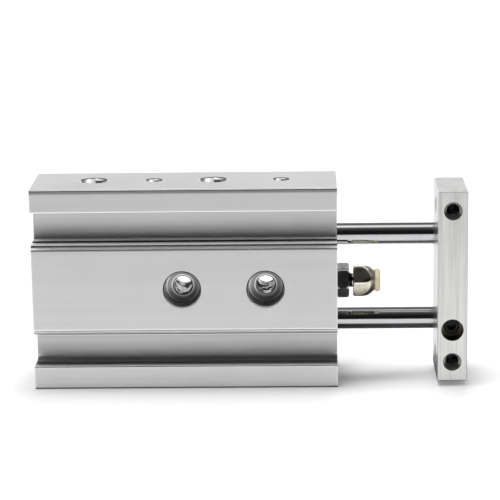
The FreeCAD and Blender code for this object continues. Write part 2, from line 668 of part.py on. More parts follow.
def stop_lock_nut():
    """Hexagon nut, crowned on both faces, that locks the return stop against the body."""
    start = ROD_END_X
    end = ROD_END_X + NUT_THICKNESS
    hole = STOP_HOLE_DIAMETER / 2
    countersink = 0.25
    blank = hex_bar_x(start, end, HEXAGON_ACROSS_FLATS, NUT_TURN, STOP_Y, MIDDLE_Z)
    envelope = turned_x([
        (start, hole + countersink), (start, HEXAGON_FACE_RADIUS),
        (start + NUT_CROWN, HEXAGON_CORNER_RADIUS), (end - NUT_CROWN, HEXAGON_CORNER_RADIUS),
        (end, HEXAGON_FACE_RADIUS), (end, hole + countersink), (end - countersink, hole),
        (start + countersink, hole),
    ], STOP_Y, MIDDLE_Z)
    return blank.common(envelope)


def stop_screw():
    """Return stop: a threaded shank with a domed hexagon cap that holds a bumper."""
    cap_start = ROD_END_X + CAP_START
    foot = cap_start + CAP_FOOT_CHAMFER
    dome_start = cap_start + CAP_PRISM_LENGTH
    cap_end = cap_start + CAP_LENGTH
    corner = HEXAGON_CORNER_RADIUS
    dome_x = dome_start + CAP_DOME_MIDDLE * (cap_end - dome_start)
    dome_radius = corner - CAP_DOME_DROP * (corner - CAP_NOSE_RADIUS)
    outline = [
        Part.makeLine(Vector(cap_end, 0, 0), Vector(cap_start, 0, 0)),
        Part.makeLine(Vector(cap_start, 0, 0), Vector(cap_start, 0, corner - CAP_FOOT_CHAMFER)),
        Part.makeLine(Vector(cap_start, 0, corner - CAP_FOOT_CHAMFER), Vector(foot, 0, corner)),
        Part.makeLine(Vector(foot, 0, corner), Vector(dome_start, 0, corner)),
        Part.Arc(
            Vector(dome_start, 0, corner), Vector(dome_x, 0, dome_radius),
            Vector(cap_end, 0, CAP_NOSE_RADIUS),
        ).toShape(),
        Part.makeLine(Vector(cap_end, 0, CAP_NOSE_RADIUS), Vector(cap_end, 0, 0)),
    ]
    envelope = Part.Face(Part.Wire(outline)).revolve(Vector(0, 0, 0), Vector(1, 0, 0), 360)
    envelope.translate(Vector(0, STOP_Y, MIDDLE_Z))
    cap = hex_bar_x(cap_start, cap_end, HEXAGON_ACROSS_FLATS, CAP_TURN, STOP_Y, MIDDLE_Z).common(envelope)
    stem = STOP_BUMPER_STEM_DIAMETER
    cap = cap.cut(bar_x(cap_end - STOP_BUMPER_STEM_LENGTH, cap_end + 1, stem, STOP_Y, MIDDLE_Z))
    shank = STOP_CORE_DIAMETER / 2
    tip = ROD_END_X - STOP_SHANK_LENGTH
    tip_chamfer = 0.3
    shank_solid = turned_x([
        (tip, 0), (tip, shank - tip_chamfer), (tip + tip_chamfer, shank), (cap_start, shank), (cap_start, 0),
    ], STOP_Y, MIDDLE_Z)
    return cap.fuse(shank_solid).removeSplitter()


def stop_bumper():
    """Urethane button whose stem sits in the stop screw's cap, which can turn round it."""
    seat = ROD_END_X + CAP_START + CAP_LENGTH + STOP_BUMPER_CLEARANCE
    front = seat + STOP_BUMPER_REACH
    stem = STOP_BUMPER_STEM_DIAMETER / 2 - STOP_BUMPER_CLEARANCE
    head = STOP_BUMPER_DIAMETER / 2
    stem_end = seat - STOP_BUMPER_STEM_LENGTH
    soft = STOP_BUMPER_ROUND
    profile = [
        (stem_end, 0), (stem_end, stem), (seat, stem), (seat, head), (front - soft, head),
        (front - 0.3 * soft, head - 0.3 * soft), (front, head - soft), (front, 0),
    ]
    return turned_x(profile, STOP_Y, MIDDLE_Z)


PAIRED_PARTS = {
    "rod": rod,
    "piston": piston,
    "piston_seal": piston_seal,
    "magnet": magnet,
    "magnet_retainer": magnet_retainer,
    "piston_screw": piston_screw,
    "piston_bumper": piston_bumper,
    "rod_guide": rod_guide,
    "guide_o_ring": guide_o_ring,
    "rod_seal": rod_seal,
    "seal_washer": seal_washer,
    "rod_end_ring": rod_end_ring,
    "head_cover": head_cover,
    "head_o_ring": head_o_ring,
    "head_bumper": head_bumper,
    "head_end_ring": head_end_ring,
}

SINGLE_PARTS = {
    "housing": housing,
    "end_plate": end_plate,
    "plate_screw": plate_screw,
    "rod_set_screw": rod_set_screw,
    "stop_lock_nut": stop_lock_nut,
    "stop_screw": stop_screw,
    "stop_bumper": stop_bumper,
}


def build():
    """All sub-parts by name."""
    shapes = {name: make() for name, make in SINGLE_PARTS.items()}
    for which in ROD_Z:
        for name, make in PAIRED_PARTS.items():
            shapes[f"{which}_{name}"] = make(which)
    shapes["head_port_plug"] = port_plug(HEAD_X + PORT_X[0])
    shapes["rod_port_plug"] = port_plug(HEAD_X + PORT_X[1])
    return shapes


os.makedirs("parts", exist_ok=True)
for name, shape in build().items():
    if len(shape.Solids) != 1 or not shape.isValid():
        raise ValueError(f"{name} is not one sound solid")
    shape.Solids[0].exportStep(f"parts/{name}.step")
    print(f"{name}: {shape.Volume:.2f} mm3")
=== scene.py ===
import json
import math

import bmesh
import bpy
from mathutils import Matrix, Vector


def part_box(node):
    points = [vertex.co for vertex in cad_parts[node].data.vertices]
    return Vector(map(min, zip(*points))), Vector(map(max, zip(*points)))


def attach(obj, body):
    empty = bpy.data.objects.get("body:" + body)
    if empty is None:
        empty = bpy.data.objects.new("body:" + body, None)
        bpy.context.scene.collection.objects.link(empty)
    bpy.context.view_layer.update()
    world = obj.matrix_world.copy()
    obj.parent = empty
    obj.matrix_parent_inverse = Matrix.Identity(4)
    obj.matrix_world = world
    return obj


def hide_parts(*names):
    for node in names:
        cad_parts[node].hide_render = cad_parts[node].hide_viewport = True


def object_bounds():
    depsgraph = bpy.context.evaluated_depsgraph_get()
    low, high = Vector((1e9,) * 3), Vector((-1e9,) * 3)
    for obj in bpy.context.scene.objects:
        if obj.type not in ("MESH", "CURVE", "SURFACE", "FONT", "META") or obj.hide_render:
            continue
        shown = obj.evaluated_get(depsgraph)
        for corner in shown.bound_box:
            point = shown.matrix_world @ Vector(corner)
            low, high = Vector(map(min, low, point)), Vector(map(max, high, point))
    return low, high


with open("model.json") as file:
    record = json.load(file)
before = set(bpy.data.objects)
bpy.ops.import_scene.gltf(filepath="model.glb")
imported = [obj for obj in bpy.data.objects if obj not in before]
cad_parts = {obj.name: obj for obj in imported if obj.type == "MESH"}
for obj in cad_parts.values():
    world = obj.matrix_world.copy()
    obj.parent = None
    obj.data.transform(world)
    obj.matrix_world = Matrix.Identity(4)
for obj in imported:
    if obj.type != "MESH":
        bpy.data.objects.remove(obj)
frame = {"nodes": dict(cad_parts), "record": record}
cad_low, cad_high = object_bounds()

# The makers' drawing sizes are in millimetres and the frame is in metres.
MM = 0.001
mounts = {mount["name"]: Vector(mount["pos_m"]) for mount in frame["record"]["mounts"]}

# ---------------------------------------------------------------------------
# Camera. It stands in front of the grooved side and a little above it, with a long
# lens, turned and tilted by the small angles of a hand-set tripod.
AIM_FROM_MIDDLE = Vector((0.2, -8.2, 7.3)) * MM
CAMERA_DISTANCE = 396.6 * MM
CAMERA_YAW = math.radians(-1.463)
CAMERA_FALL = math.radians(12.956)
CAMERA_ROLL = math.radians(-0.780)
LENS = 158.7

aim = (cad_low + cad_high) / 2 + AIM_FROM_MIDDLE
ahead = Vector((
    math.sin(CAMERA_YAW) * math.cos(CAMERA_FALL),
    math.cos(CAMERA_YAW) * math.cos(CAMERA_FALL),
    -math.sin(CAMERA_FALL),
))
level = Vector((math.cos(CAMERA_YAW), -math.sin(CAMERA_YAW), 0))
upright = level.cross(ahead)
across = math.cos(CAMERA_ROLL) * level + math.sin(CAMERA_ROLL) * upright
over = -math.sin(CAMERA_ROLL) * level + math.cos(CAMERA_ROLL) * upright
camera_data = bpy.data.cameras.new("camera")
camera_data.lens = LENS
camera = bpy.data.objects.new("camera", camera_data)
bpy.context.scene.collection.objects.link(camera)
turn = Matrix((across, over, -ahead)).transposed().to_4x4()
camera.matrix_world = Matrix.Translation(aim - ahead * CAMERA_DISTANCE) @ turn
bpy.context.scene.camera = camera
bpy.context.scene.view_settings.view_transform = "Standard"

# ---------------------------------------------------------------------------
# Studio. A pale backdrop low down behind, one wide softbox overhead and a little behind,
# and an unlit room in front, which give polished metal its light and dark bands.
# A level is (share of the half turn from the front over the top to the back, brightness).
ROOM_LEVELS = (
    (0.000, 0.25), (0.030, 0.013), (0.200, 0.013), (0.260, 0.042), (0.320, 0.063), (0.390, 0.126),
    (0.455, 0.56), (0.485, 1.20), (0.505, 1.50), (0.550, 1.50), (0.600, 0.80), (0.650, 0.25),
    (0.700, 0.19), (0.865, 0.17), (0.895, 1.15), (1.000, 1.30),
)


def node(tree, kind, values=None, **settings):
    """One node of a shader tree. values sets its inputs, by name or number, from constants or sockets."""
    made = tree.nodes.new("ShaderNode" + kind)
    for name, setting in settings.items():
        setattr(made, name, setting)
    for key, value in (values or {}).items():
        if isinstance(value, bpy.types.NodeSocket):
            tree.links.new(value, made.inputs[key])
        else:
            made.inputs[key].default_value = value
    return made


def maths(tree, operation, *values):
    """The result of one sum on sockets or numbers."""
    return node(tree, "Math", dict(enumerate(values)), operation=operation).outputs[0]


def vector_maths(tree, operation, *values):
    """The vector that one sum on vectors gives."""
    return node(tree, "VectorMath", dict(enumerate(values)), operation=operation).outputs[0]


def split(tree, vector):
    """The X, Y and Z of a vector."""
    return node(tree, "SeparateXYZ", {0: vector}).outputs


def remap(tree, value, low, high, to_low, to_high):
    """value moved from one range to another and held inside it."""
    inputs = {"Value": value, "From Min": low, "From Max": high, "To Min": to_low, "To Max": to_high}
    return node(tree, "MapRange", inputs, interpolation_type="SMOOTHSTEP").outputs[0]


def grey_ramp(tree, value, stops, unit=1.0):
    """Greys laid out along a value. stops are (value, grey), with their values in the given unit."""
    start, end = stops[0][0], stops[-1][0]
    share = node(tree, "MapRange", {"Value": value, "From Min": start * unit, "From Max": end * unit})
    ramp = node(tree, "ValToRGB", {0: share.outputs[0]})
    while len(ramp.color_ramp.elements) < len(stops):
        ramp.color_ramp.elements.new(0.5)
    for element, (place, grey) in zip(ramp.color_ramp.elements, stops):
        element.position = (place - start) / (end - start)
        element.color = (grey, grey, grey, 1)
    return ramp.outputs[0]


world = bpy.data.worlds.new("studio")
bpy.context.scene.world = world
world.use_nodes = True
tree = world.node_tree
tree.nodes.clear()
direction = split(tree, node(tree, "TexCoord").outputs["Generated"])
turned = maths(tree, "ARCTAN2", direction["Z"], maths(tree, "MULTIPLY", direction["Y"], -1.0))
room = grey_ramp(tree, maths(tree, "DIVIDE", turned, math.pi), ROOM_LEVELS)
room_light = node(tree, "Background", {"Color": room, "Strength": 1.0})
white = node(tree, "Background", {"Color": (1, 1, 1, 1), "Strength": 1.0})
seen = node(tree, "LightPath").outputs["Is Camera Ray"]
shown = node(tree, "MixShader", {0: seen, 1: room_light.outputs[0], 2: white.outputs[0]})
node(tree, "OutputWorld", {"Surface": shown.outputs[0]})

SOFTBOX_SIZE = (0.60, 0.16)
SOFTBOX_PLACE = Vector((-0.07, 0.045, 0.60))
SOFTBOX_WATTS = 2.4
FILL_SIZE = (0.60, 0.60)
FILL_PLACE = Vector((-0.10, -0.80, 0.40))
FILL_WATTS = 2.2


def add_lamp(name, size, place, watts):
    """A matt panel lamp that faces the part. Polished metal shows the room's own bands and not the panel."""
    lamp = bpy.data.lights.new(name, "AREA")
    lamp.shape = "RECTANGLE"
    lamp.size, lamp.size_y = size
    lamp.energy = watts
    panel = bpy.data.objects.new(name, lamp)
    bpy.context.scene.collection.objects.link(panel)
    panel.location = aim + place
    panel.rotation_euler = (-place).to_track_quat("-Z", "Y").to_euler()
    panel.visible_glossy = False


add_lamp("softbox", SOFTBOX_SIZE, SOFTBOX_PLACE, SOFTBOX_WATTS)
add_lamp("front_fill", FILL_SIZE, FILL_PLACE, FILL_WATTS)

# ---------------------------------------------------------------------------
# Floor. White board, lit by the lamps and a little by itself for the camera and for
# polished metal, so it is white all round and still keeps the shadow. Its glow paints a
# shadow at the housing's foot, where it is least, paints light over the shadow past the end
# plate, and is more far away. In polished metal the glow fades towards the front, a painted
# darkening of what the metal mirrors, and the rods mirror a painted shadow below them: a dark
# strip of the board that only polished metal sees.
FLOOR_HALF_WIDTH = 3.0
FLOOR_DROP = 0.02 * MM
FLOOR_WHITE = (0.92, 0.92, 0.92)
# Painted shadow: the glow is least at the housing's foot.
FOOT_GLOW = 0.06
FLOOR_GLOW = 0.16
GLOW_REACH = 6.0 * MM
FAR_GLOW = 0.45
FAR_GLOW_SPAN = (80.0 * MM, 700.0 * MM)
# Painted light over the shadow past the end plate.
PAST_PLATE_GLOW = 0.12
PAST_PLATE_SPAN = (-1.0 * MM, 6.0 * MM)
# A painted darkening, towards the front, of the floor that polished metal mirrors.
FRONT_FADE = (20.0 * MM, 150.0 * MM)
# The share of the mirrored glow at the fade's far end, below nothing so that it ends a little short of it.
FRONT_SHARE = -0.1
# A painted shadow under the rods: a dark strip of the board that only polished metal sees.
STRIP_BEHIND_RODS = 3.0 * MM
STRIP_HALF_WIDTH = (9.0 * MM, 13.0 * MM)
STRIP_OVERLAP = 2.0 * MM
UNDER_RODS_SHADOW_GREY = (0.15, 0.15, 0.15)


def blend_colour(tree, factor, first, second):
    """first turned into second by factor. A colour is a socket or three numbers."""
    first, second = ((*colour, 1) if isinstance(colour, tuple) else colour for colour in (first, second))
    return node(tree, "Mix", {0: factor, 6: first, 7: second}, data_type="RGBA").outputs[2]


def all_of(tree, mask, *others):
    """A mask that is 1 only where every one of the masks is."""
    for other in others:
        mask = maths(tree, "MULTIPLY", mask, other)
    return mask


def inverted(tree, mask):
    """1 where the mask is 0, and 0 where it is 1."""
    return maths(tree, "SUBTRACT", 1.0, mask)


mesh = bmesh.new()
bmesh.ops.create_grid(mesh, x_segments=1, y_segments=1, size=FLOOR_HALF_WIDTH)
bmesh.ops.translate(mesh, verts=mesh.verts, vec=(0, 0, cad_low.z - FLOOR_DROP))
floor_mesh = bpy.data.meshes.new("studio_floor")
mesh.to_mesh(floor_mesh)
mesh.free()
floor = bpy.data.objects.new("studio_floor", floor_mesh)
bpy.context.scene.collection.objects.link(floor)

body_low, body_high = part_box("housing")
body_middle = (body_low + body_high) / 2
body_half = (body_high - body_low) / 2
plate_low, plate_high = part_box("end_plate")
board = bpy.data.materials.new("white_board")
board.use_nodes = True
tree = board.node_tree
tree.nodes.clear()
from_middle = vector_maths(tree, "SUBTRACT", node(tree, "TexCoord").outputs["Object"], body_middle)
xyz = split(tree, from_middle)
beyond = vector_maths(tree, "SUBTRACT", vector_maths(tree, "ABSOLUTE", from_middle), body_half)
beyond = vector_maths(tree, "MAXIMUM", beyond, (0, 0, 0))
clearance = node(tree, "VectorMath", {0: beyond}, operation="LENGTH").outputs["Value"]
past_near, past_far = (plate_high.x - body_middle.x + distance for distance in PAST_PLATE_SPAN)
# The glow paints a shadow at the housing's foot and paints light over the shadow past the end plate.
glow = remap(tree, clearance, 0.0, GLOW_REACH, FOOT_GLOW, FLOOR_GLOW)
glow = maths(tree, "ADD", glow, remap(tree, clearance, *FAR_GLOW_SPAN, 0.0, FAR_GLOW))
glow = maths(tree, "ADD", glow, remap(tree, xyz["X"], past_near, past_far, 0.0, PAST_PLATE_GLOW))

path = node(tree, "LightPath").outputs
# Painted darkening, towards the front, of the floor that polished metal mirrors.
in_front = maths(tree, "MULTIPLY", xyz["Y"], -1.0)
mirrored = all_of(tree, path["Is Glossy Ray"], remap(tree, in_front, *FRONT_FADE, 1.0, FRONT_SHARE))
# Painted shadow under the rods, seen only in polished metal.
strip_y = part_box("upper_rod")[0].y - body_middle.y + STRIP_BEHIND_RODS
from_strip = maths(tree, "ABSOLUTE", maths(tree, "SUBTRACT", xyz["Y"], strip_y))
under_rods_shadow = all_of(tree, remap(tree, from_strip, *STRIP_HALF_WIDTH, 1.0, 0.0),
                  remap(tree, xyz["X"], body_half.x - STRIP_OVERLAP, body_half.x, 0.0, 1.0),
                  path["Is Glossy Ray"])
glow = all_of(tree, glow, maths(tree, "MAXIMUM", path["Is Camera Ray"], mirrored), inverted(tree, under_rods_shadow))
glowing = node(tree, "Emission", {"Color": (1, 1, 1, 1), "Strength": glow})
diffuse = node(tree, "BsdfDiffuse", {"Color": blend_colour(tree, under_rods_shadow, FLOOR_WHITE, UNDER_RODS_SHADOW_GREY)})
lit = node(tree, "AddShader", {0: glowing.outputs[0], 1: diffuse.outputs[0]})
node(tree, "OutputMaterial", {"Surface": lit.outputs[0]})
floor_mesh.materials.append(board)

# ---------------------------------------------------------------------------
# Housing. One length of aluminium extrusion, milled at the ends, counterbored and tapped,
# then clear anodised. The die leaves fine lines along it and the cutters leave rings.


def effect_group(name, inputs, outputs):
    """An empty node group with its sockets. inputs are (name, type, value); outputs are (name, type)."""
    made = bpy.data.node_groups.new(name, "ShaderNodeTree")
    for socket, kind, value in inputs:
        made.interface.new_socket(
            socket, in_out="INPUT", socket_type="NodeSocket" + kind).default_value = value
    for socket, kind in outputs:
        made.interface.new_socket(socket, in_out="OUTPUT", socket_type="NodeSocket" + kind)
    return made, made.nodes.new("NodeGroupInput").outputs, made.nodes.new("NodeGroupOutput").inputs


def effect(tree, made, values):
    """The outputs of one placing of a node group."""
    return node(tree, "Group", values, node_tree=made).outputs


# Fine grain, as acid etching or moulding leaves it. Size is that of one grain in metres.
fine_grain, given, result = effect_group(
    "fine_grain", [("Vector", "Vector", (0, 0, 0)), ("Size", "Float", 0.0001)], [("Value", "Float")])
speck = node(fine_grain, "TexNoise", {
    "Vector": given["Vector"], "Scale": maths(fine_grain, "DIVIDE", 1.0, given["Size"]), "Detail": 2.0,
})
fine_grain.links.new(speck.outputs[0], result["Value"])

# Long lines, as a die or a sanding belt leaves them. Stretch is the number of lines a metre each way,
# and Fine Share is how much of the whole the fine lines make up.
BROAD_SCALE = 0.17
long_lines, given, result = effect_group(
    "long_lines",
    [("Vector", "Vector", (0, 0, 0)), ("Stretch", "Vector", (1, 1, 1)), ("Fine Share", "Float", 0.5)],
    [("Drawn", "Float")])
stretched = vector_maths(long_lines, "MULTIPLY", given["Vector"], given["Stretch"])
thin = node(long_lines, "TexNoise", {"Vector": stretched, "Scale": 1.0, "Detail": 3.0}).outputs[0]
wide = node(long_lines, "TexNoise", {"Vector": stretched, "Scale": BROAD_SCALE, "Detail": 2.0}).outputs[0]
long_lines.links.new(
    node(long_lines, "Mix", {0: given["Fine Share"], 2: wide, 3: thin}).outputs[0], result["Drawn"])

# Rings, as a turning tool leaves them. Along runs with the axis; Across and Beside cross it.
tool_rings, given, result = effect_group(
    "tool_rings",
    [("Along", "Float", 0), ("Across", "Float", 0), ("Beside", "Float", 0), ("Pitch", "Float", 0.0002)],
    [("Height", "Float"), ("Radius", "Float")])
squares = maths(tool_rings, "MULTIPLY_ADD", given["Across"], given["Across"],
                maths(tool_rings, "MULTIPLY", given["Beside"], given["Beside"]))
radius = maths(tool_rings, "SQRT", squares)
travel = maths(tool_rings, "DIVIDE", maths(tool_rings, "ADD", radius, given["Along"]), given["Pitch"])
ring = node(tool_rings, "TexNoise", {"W": travel, "Scale": 1.0, "Detail": 3.0}, noise_dimensions="1D")
tool_rings.links.new(ring.outputs[0], result["Height"])
tool_rings.links.new(radius, result["Radius"])

# Handling marks: faint cloudy patches where the finish has been touched, and a few hair scratches.
HAIR_SLANT = (0.5, 0.7, 0.9)
HAIR_STRETCH = (5000, 260, 2600)
handling, given, result = effect_group(
    "handling_marks", [("Vector", "Vector", (0, 0, 0)), ("Size", "Float", 0.01)],
    [("Patches", "Float"), ("Scratches", "Float")])
cloud = node(handling, "TexNoise", {
    "Vector": given["Vector"], "Scale": maths(handling, "DIVIDE", 1.0, given["Size"]),
    "Detail": 4.0, "Distortion": 0.6,
})
slant = node(handling, "Mapping", {"Vector": given["Vector"], "Rotation": HAIR_SLANT, "Scale": HAIR_STRETCH})
hair = node(handling, "TexNoise", {"Vector": slant.outputs[0], "Scale": 1.0, "Detail": 0.0})
handling.links.new(remap(handling, cloud.outputs[0], 0.42, 0.68, 0.0, 1.0), result["Patches"])
handling.links.new(remap(handling, hair.outputs[0], 0.76, 0.80, 0.0, 1.0), result["Scratches"])

# Edge band of a box-shaped piece: 1 on its edges, falling to 0 over Width. The edges are where the
# second nearest pair of the box's faces is near.
edge_band, given, result = effect_group(
    "edge_band",
    [("Vector", "Vector", (0, 0, 0)), ("Half Size", "Vector", (1, 1, 1)), ("Width", "Float", 0.0003)],
    [("Mask", "Float")])
depth = split(edge_band, vector_maths(
    edge_band, "SUBTRACT", given["Half Size"], vector_maths(edge_band, "ABSOLUTE", given["Vector"])))
nearer = maths(edge_band, "MINIMUM", depth["X"], depth["Y"])
farther = maths(edge_band, "MAXIMUM", depth["X"], depth["Y"])
second = maths(edge_band, "MAXIMUM", nearer, maths(edge_band, "MINIMUM", farther, depth["Z"]))
share = maths(edge_band, "DIVIDE", second, given["Width"])
edge_band.links.new(remap(edge_band, share, 0.0, 1.0, 1.0, 0.0), result["Mask"])


def new_finish(name, metallic, **fixed):
    """A material with one principled shader. fixed sets the shader's own sockets, with _ for a space."""
    made = bpy.data.materials.new(name)
    made.use_nodes = True
    tree = made.node_tree
    tree.nodes.clear()
    shader = node(tree, "BsdfPrincipled", {"Metallic": metallic})
    for socket, value in fixed.items():
        shader.inputs[socket.replace("_", " ")].default_value = value
    node(tree, "OutputMaterial", {"Surface": shader.outputs[0]})
    return made, tree, shader, node(tree, "TexCoord").outputs["Object"]


def lay_finish(tree, shader, colour, roughness, heights):
    """Joins a colour, a roughness and a stack of (height, depth in metres) bumps to the shader."""
    tree.links.new(colour, shader.inputs["Base Color"])
    tree.links.new(roughness, shader.inputs["Roughness"])
    normal = None
    for height, depth in heights:
        values = {"Height": height, "Distance": depth, "Strength": 1.0}
        if normal is not None:
            values["Normal"] = normal
        normal = node(tree, "Bump", values).outputs[0]
    tree.links.new(normal, shader.inputs["Normal"])


def dress(made, *names):
    """Gives CAD nodes a finish."""
    for name in names:
        frame["nodes"][name].material_slots[0].material = made


def spread(tree, noise, low, high):
    """A noise's usual range, 0.3 to 0.7, moved to another."""
    return remap(tree, noise, 0.3, 0.7, low, high)


def scaled(tree, value, share):
    """A share of a value."""
    return maths(tree, "MULTIPLY", value, share)


def folded(tree, value, middle, half):
    """Distance from the nearer of two places that lie half each side of middle."""
    centred = maths(tree, "ABSOLUTE", maths(tree, "SUBTRACT", value, middle))
    return maths(tree, "SUBTRACT", centred, half)


def length_of(tree, first, second):
    """The length of a vector that has these two parts."""
    squares = maths(tree, "MULTIPLY_ADD", first, first, maths(tree, "MULTIPLY", second, second))
    return maths(tree, "SQRT", squares)


def within(tree, distance, radius):
    """1 up to a radius and 0 past it."""
    return remap(tree, distance, radius - MASK_EDGE, radius + MASK_EDGE, 1.0, 0.0)


def height_band(tree, height, shades):
    """1 over the heights that a list of shades covers, and 0 elsewhere."""
    low, high = shades[0][0] * MM, shades[-1][0] * MM
    return maths(tree, "COMPARE", height, (low + high) / 2, (high - low) / 2)


MASK_EDGE = 0.03 * MM
DIE_LINES = (22.0, 4200.0, 4200.0)
DIE_FINE_SHARE = 0.5
DIE_LINE_DEPTH = 0.0022 * MM
ANODISED_LIGHT = (0.660, 0.665, 0.660)
ANODISED_DARK = (0.625, 0.630, 0.625)
# Wear on the edges, and a painted highlight along the grooves' lips.
ANODISED_WEAR_AND_HIGHLIGHT = (0.92, 0.92, 0.91)
# Painted shade low in the upper groove's floor.
GROOVE_PAINTED_SHADE = (0.20, 0.20, 0.20)
# Painted sheen: the top face lighter.
TOP_SHEEN = (0.80, 0.805, 0.80)
ANODISED_ROUGHNESS = (0.36, 0.33)
ANODISED_GRAIN = 0.09 * MM
PATCH_SIZE = 11.0 * MM
PATCH_SHARE = 0.3
PATCH_ROUGHER = 0.02
EDGE_WIDTH = 0.4 * MM
EDGE_SHARE = 0.4
TOP_SKIN = (0.02 * MM, 0.06 * MM)
# Painted highlight along the top's front edge.
TOP_EDGE_HIGHLIGHT_SPAN = (0.80 * MM, 1.20 * MM)
END_SKIN = 0.05 * MM
END_SMOOTHER = 0.08

# The grooves and the front. Distances go inwards from the front, and heights up from mid height.
# The shades are (millimetres, grey): painted light and shade, the bright and dark lines along the edges and
# down the walls, and the floors darker towards their bottoms.
LIP_HEIGHT = 14.2 * MM
# Painted highlight along the grooves' lips.
LIP_HIGHLIGHT_SPAN = (0.25 * MM, 0.45 * MM)
LIP_DEPTH = (0.3 * MM, 0.5 * MM)
FRONT_DEPTH = (0.60 * MM, 0.64 * MM)
PAD_TOP_SHADES = (
    (7.12, 0.66), (7.20, 0.50), (7.34, 0.22), (7.49, 0.20), (7.55, 1.00), (7.72, 1.00), (7.82, 0.80),
    (7.90, 0.32), (8.20, 0.25), (8.38, 0.36), (8.46, 0.80),
)
PAD_FOOT_SHADES = (
    (-8.50, 1.00), (-8.32, 1.00), (-8.24, 0.44), (-7.98, 0.42), (-7.88, 0.60), (-7.80, 1.00),
    (-7.50, 1.00), (-7.20, 0.66),
)
# Painted shadow along the housing's foot, and painted dark and light lines along the top's front edge.
FOOT_SHADES = ((-18.50, 0.08), (-18.28, 0.10), (-18.20, 0.62))
TOP_EDGE_SHADES = (
    (17.50, 0.66), (17.72, 0.58), (17.82, 0.40), (17.92, 0.28), (18.24, 0.30), (18.32, 0.95), (18.50, 1.00),
)
GROOVE_NEAR = 8.5 * MM
GROOVE_START = (2.6 * MM, 2.7 * MM)
GROOVE_FLOOR = 5.4 * MM
UPPER_FLOOR_FADE = (GROOVE_NEAR, 13.5 * MM)
UPPER_FLOOR_SHARE = 0.75
LOWER_FLOOR_SHADES = (
    (-14.20, 0.36), (-14.00, 0.46), (-13.80, 0.68), (-13.60, 0.82), (-13.40, 0.70), (-13.00, 0.56),
    (-12.65, 0.49), (-11.70, 0.48), (-10.77, 0.54), (-10.15, 0.54), (-9.98, 0.46), (-9.80, 0.64),
)
WALL_DEPTH = (5.20 * MM, 5.28 * MM)
WALL_HALF_HEIGHT = 0.26 * MM
WALL_SHADES = {
    # height of the wall's edge: (where the shades start and are full, shades)
    8.24 * MM: ((0.52 * MM, 0.60 * MM), (
        (0.50, 0.85), (0.90, 0.98), (1.75, 0.94), (1.95, 0.03), (3.35, 0.03), (3.50, 0.95),
        (4.60, 0.95), (5.20, 0.35),
    )),
    -14.42 * MM: ((0.06 * MM, 0.16 * MM), (
        (0.00, 0.95), (0.40, 0.62), (0.90, 0.36), (1.40, 0.20), (1.60, 0.08), (2.00, 0.05),
        (3.20, 0.10), (3.50, 0.32), (4.20, 0.20), (5.20, 0.11),
    )),
}

# The counterbored holes. Their shades, painted light and shade, go out from the hole's axis and are
# darker on one side and lighter on the other, with a painted highlight on the rim's lower side, and the
# flats are (inner radius, outer radius, rise) of the bore's turned seats.
BOLT_HALF_SPACING = 7.55 * MM
BOLT_BORE_RADIUS = 3.47 * MM
BOLT_HOLE_RADIUS = 1.72 * MM
BOLT_RINGS = 0.34 * MM
BORE_SHADES = (
    (1.66, 0.90), (1.72, 0.06), (1.82, 0.06), (1.92, 0.80), (2.04, 0.80), (2.16, 0.46), (2.80, 0.42),
    (2.90, 0.62), (2.98, 0.62), (3.08, 0.26), (3.22, 0.34), (3.26, 0.98), (4.00, 0.98),
)
BORE_LEAN = (-0.55, 0.83)
BORE_LEAN_REACH = 3.0 * MM
BORE_LEAN_SHADES = (0.52, 1.60)
BORE_FLATS = ((1.84 * MM, 2.06 * MM, -0.10), (2.84 * MM, 3.00 * MM, -0.07), (3.25 * MM, 3.47 * MM, 0.055))
BORE_ROUGHER = 0.12
RIM_RADIUS = (3.25 * MM, 3.29 * MM)
RIM_SHADES = (1.00, 0.30)
RIM_SPAN = (-1.9 * MM, -0.9 * MM)
RIM_SMOOTHER = 0.26
# Painted shade down the bolt holes, in dark patches.
HOLE_SHADE_SCALE = 560.0
HOLE_SHADE_RANGE = (0.46, 0.53)
HOLE_SHADE_COLOUR = (0.04, 0.04, 0.04)
HOLE_SHADE_ROUGHER = 0.6
SWIRL_SCALE = 1400.0
SWIRL_RISE = 0.08
RING_DEPTH = 0.016 * MM
DULL_METALLIC = 0.2

# The tapped holes, whose drilled walls are bare metal and narrow a little on the way down, and the
# milled ends, whose arcs share one centre (Y and Z) far down the front.
PORT_MOUTH_RADIUS = 2.66 * MM
TAP_MOUTH_RADIUS = 1.66 * MM
TAPPED_METAL = (0.95, 0.95, 0.94)
TAPPED_SMOOTHER = 0.12
FLANK_SLOPE = 1.1
MILL_CENTRE = (30.0 * MM, -14.0 * MM)
MILL_PITCH = 0.35 * MM
MILL_SHARE = 0.4

anodised, tree, shader, place = new_finish("clear_anodised", 1.0)
xyz = split(tree, place)
height = maths(tree, "SUBTRACT", xyz["Z"], body_middle.z)
inwards = maths(tree, "SUBTRACT", xyz["Y"], body_low.y)
from_top = maths(tree, "SUBTRACT", body_half.z, height)
from_end = maths(tree, "SUBTRACT", body_high.x, maths(tree, "ABSOLUTE", xyz["X"]))
on_end = remap(tree, from_end, 0.0, END_SKIN, 1.0, 0.0)
off_end = inverted(tree, on_end)
drawn = effect(tree, long_lines, {
    "Vector": place, "Stretch": DIE_LINES, "Fine Share": DIE_FINE_SHARE,
})["Drawn"]
grain = effect(tree, fine_grain, {"Vector": place, "Size": ANODISED_GRAIN})["Value"]
marks = effect(tree, handling, {"Vector": place, "Size": PATCH_SIZE})
edges = effect(tree, edge_band, {
    "Vector": vector_maths(tree, "SUBTRACT", place, body_middle), "Half Size": body_half, "Width": EDGE_WIDTH,
})["Mask"]


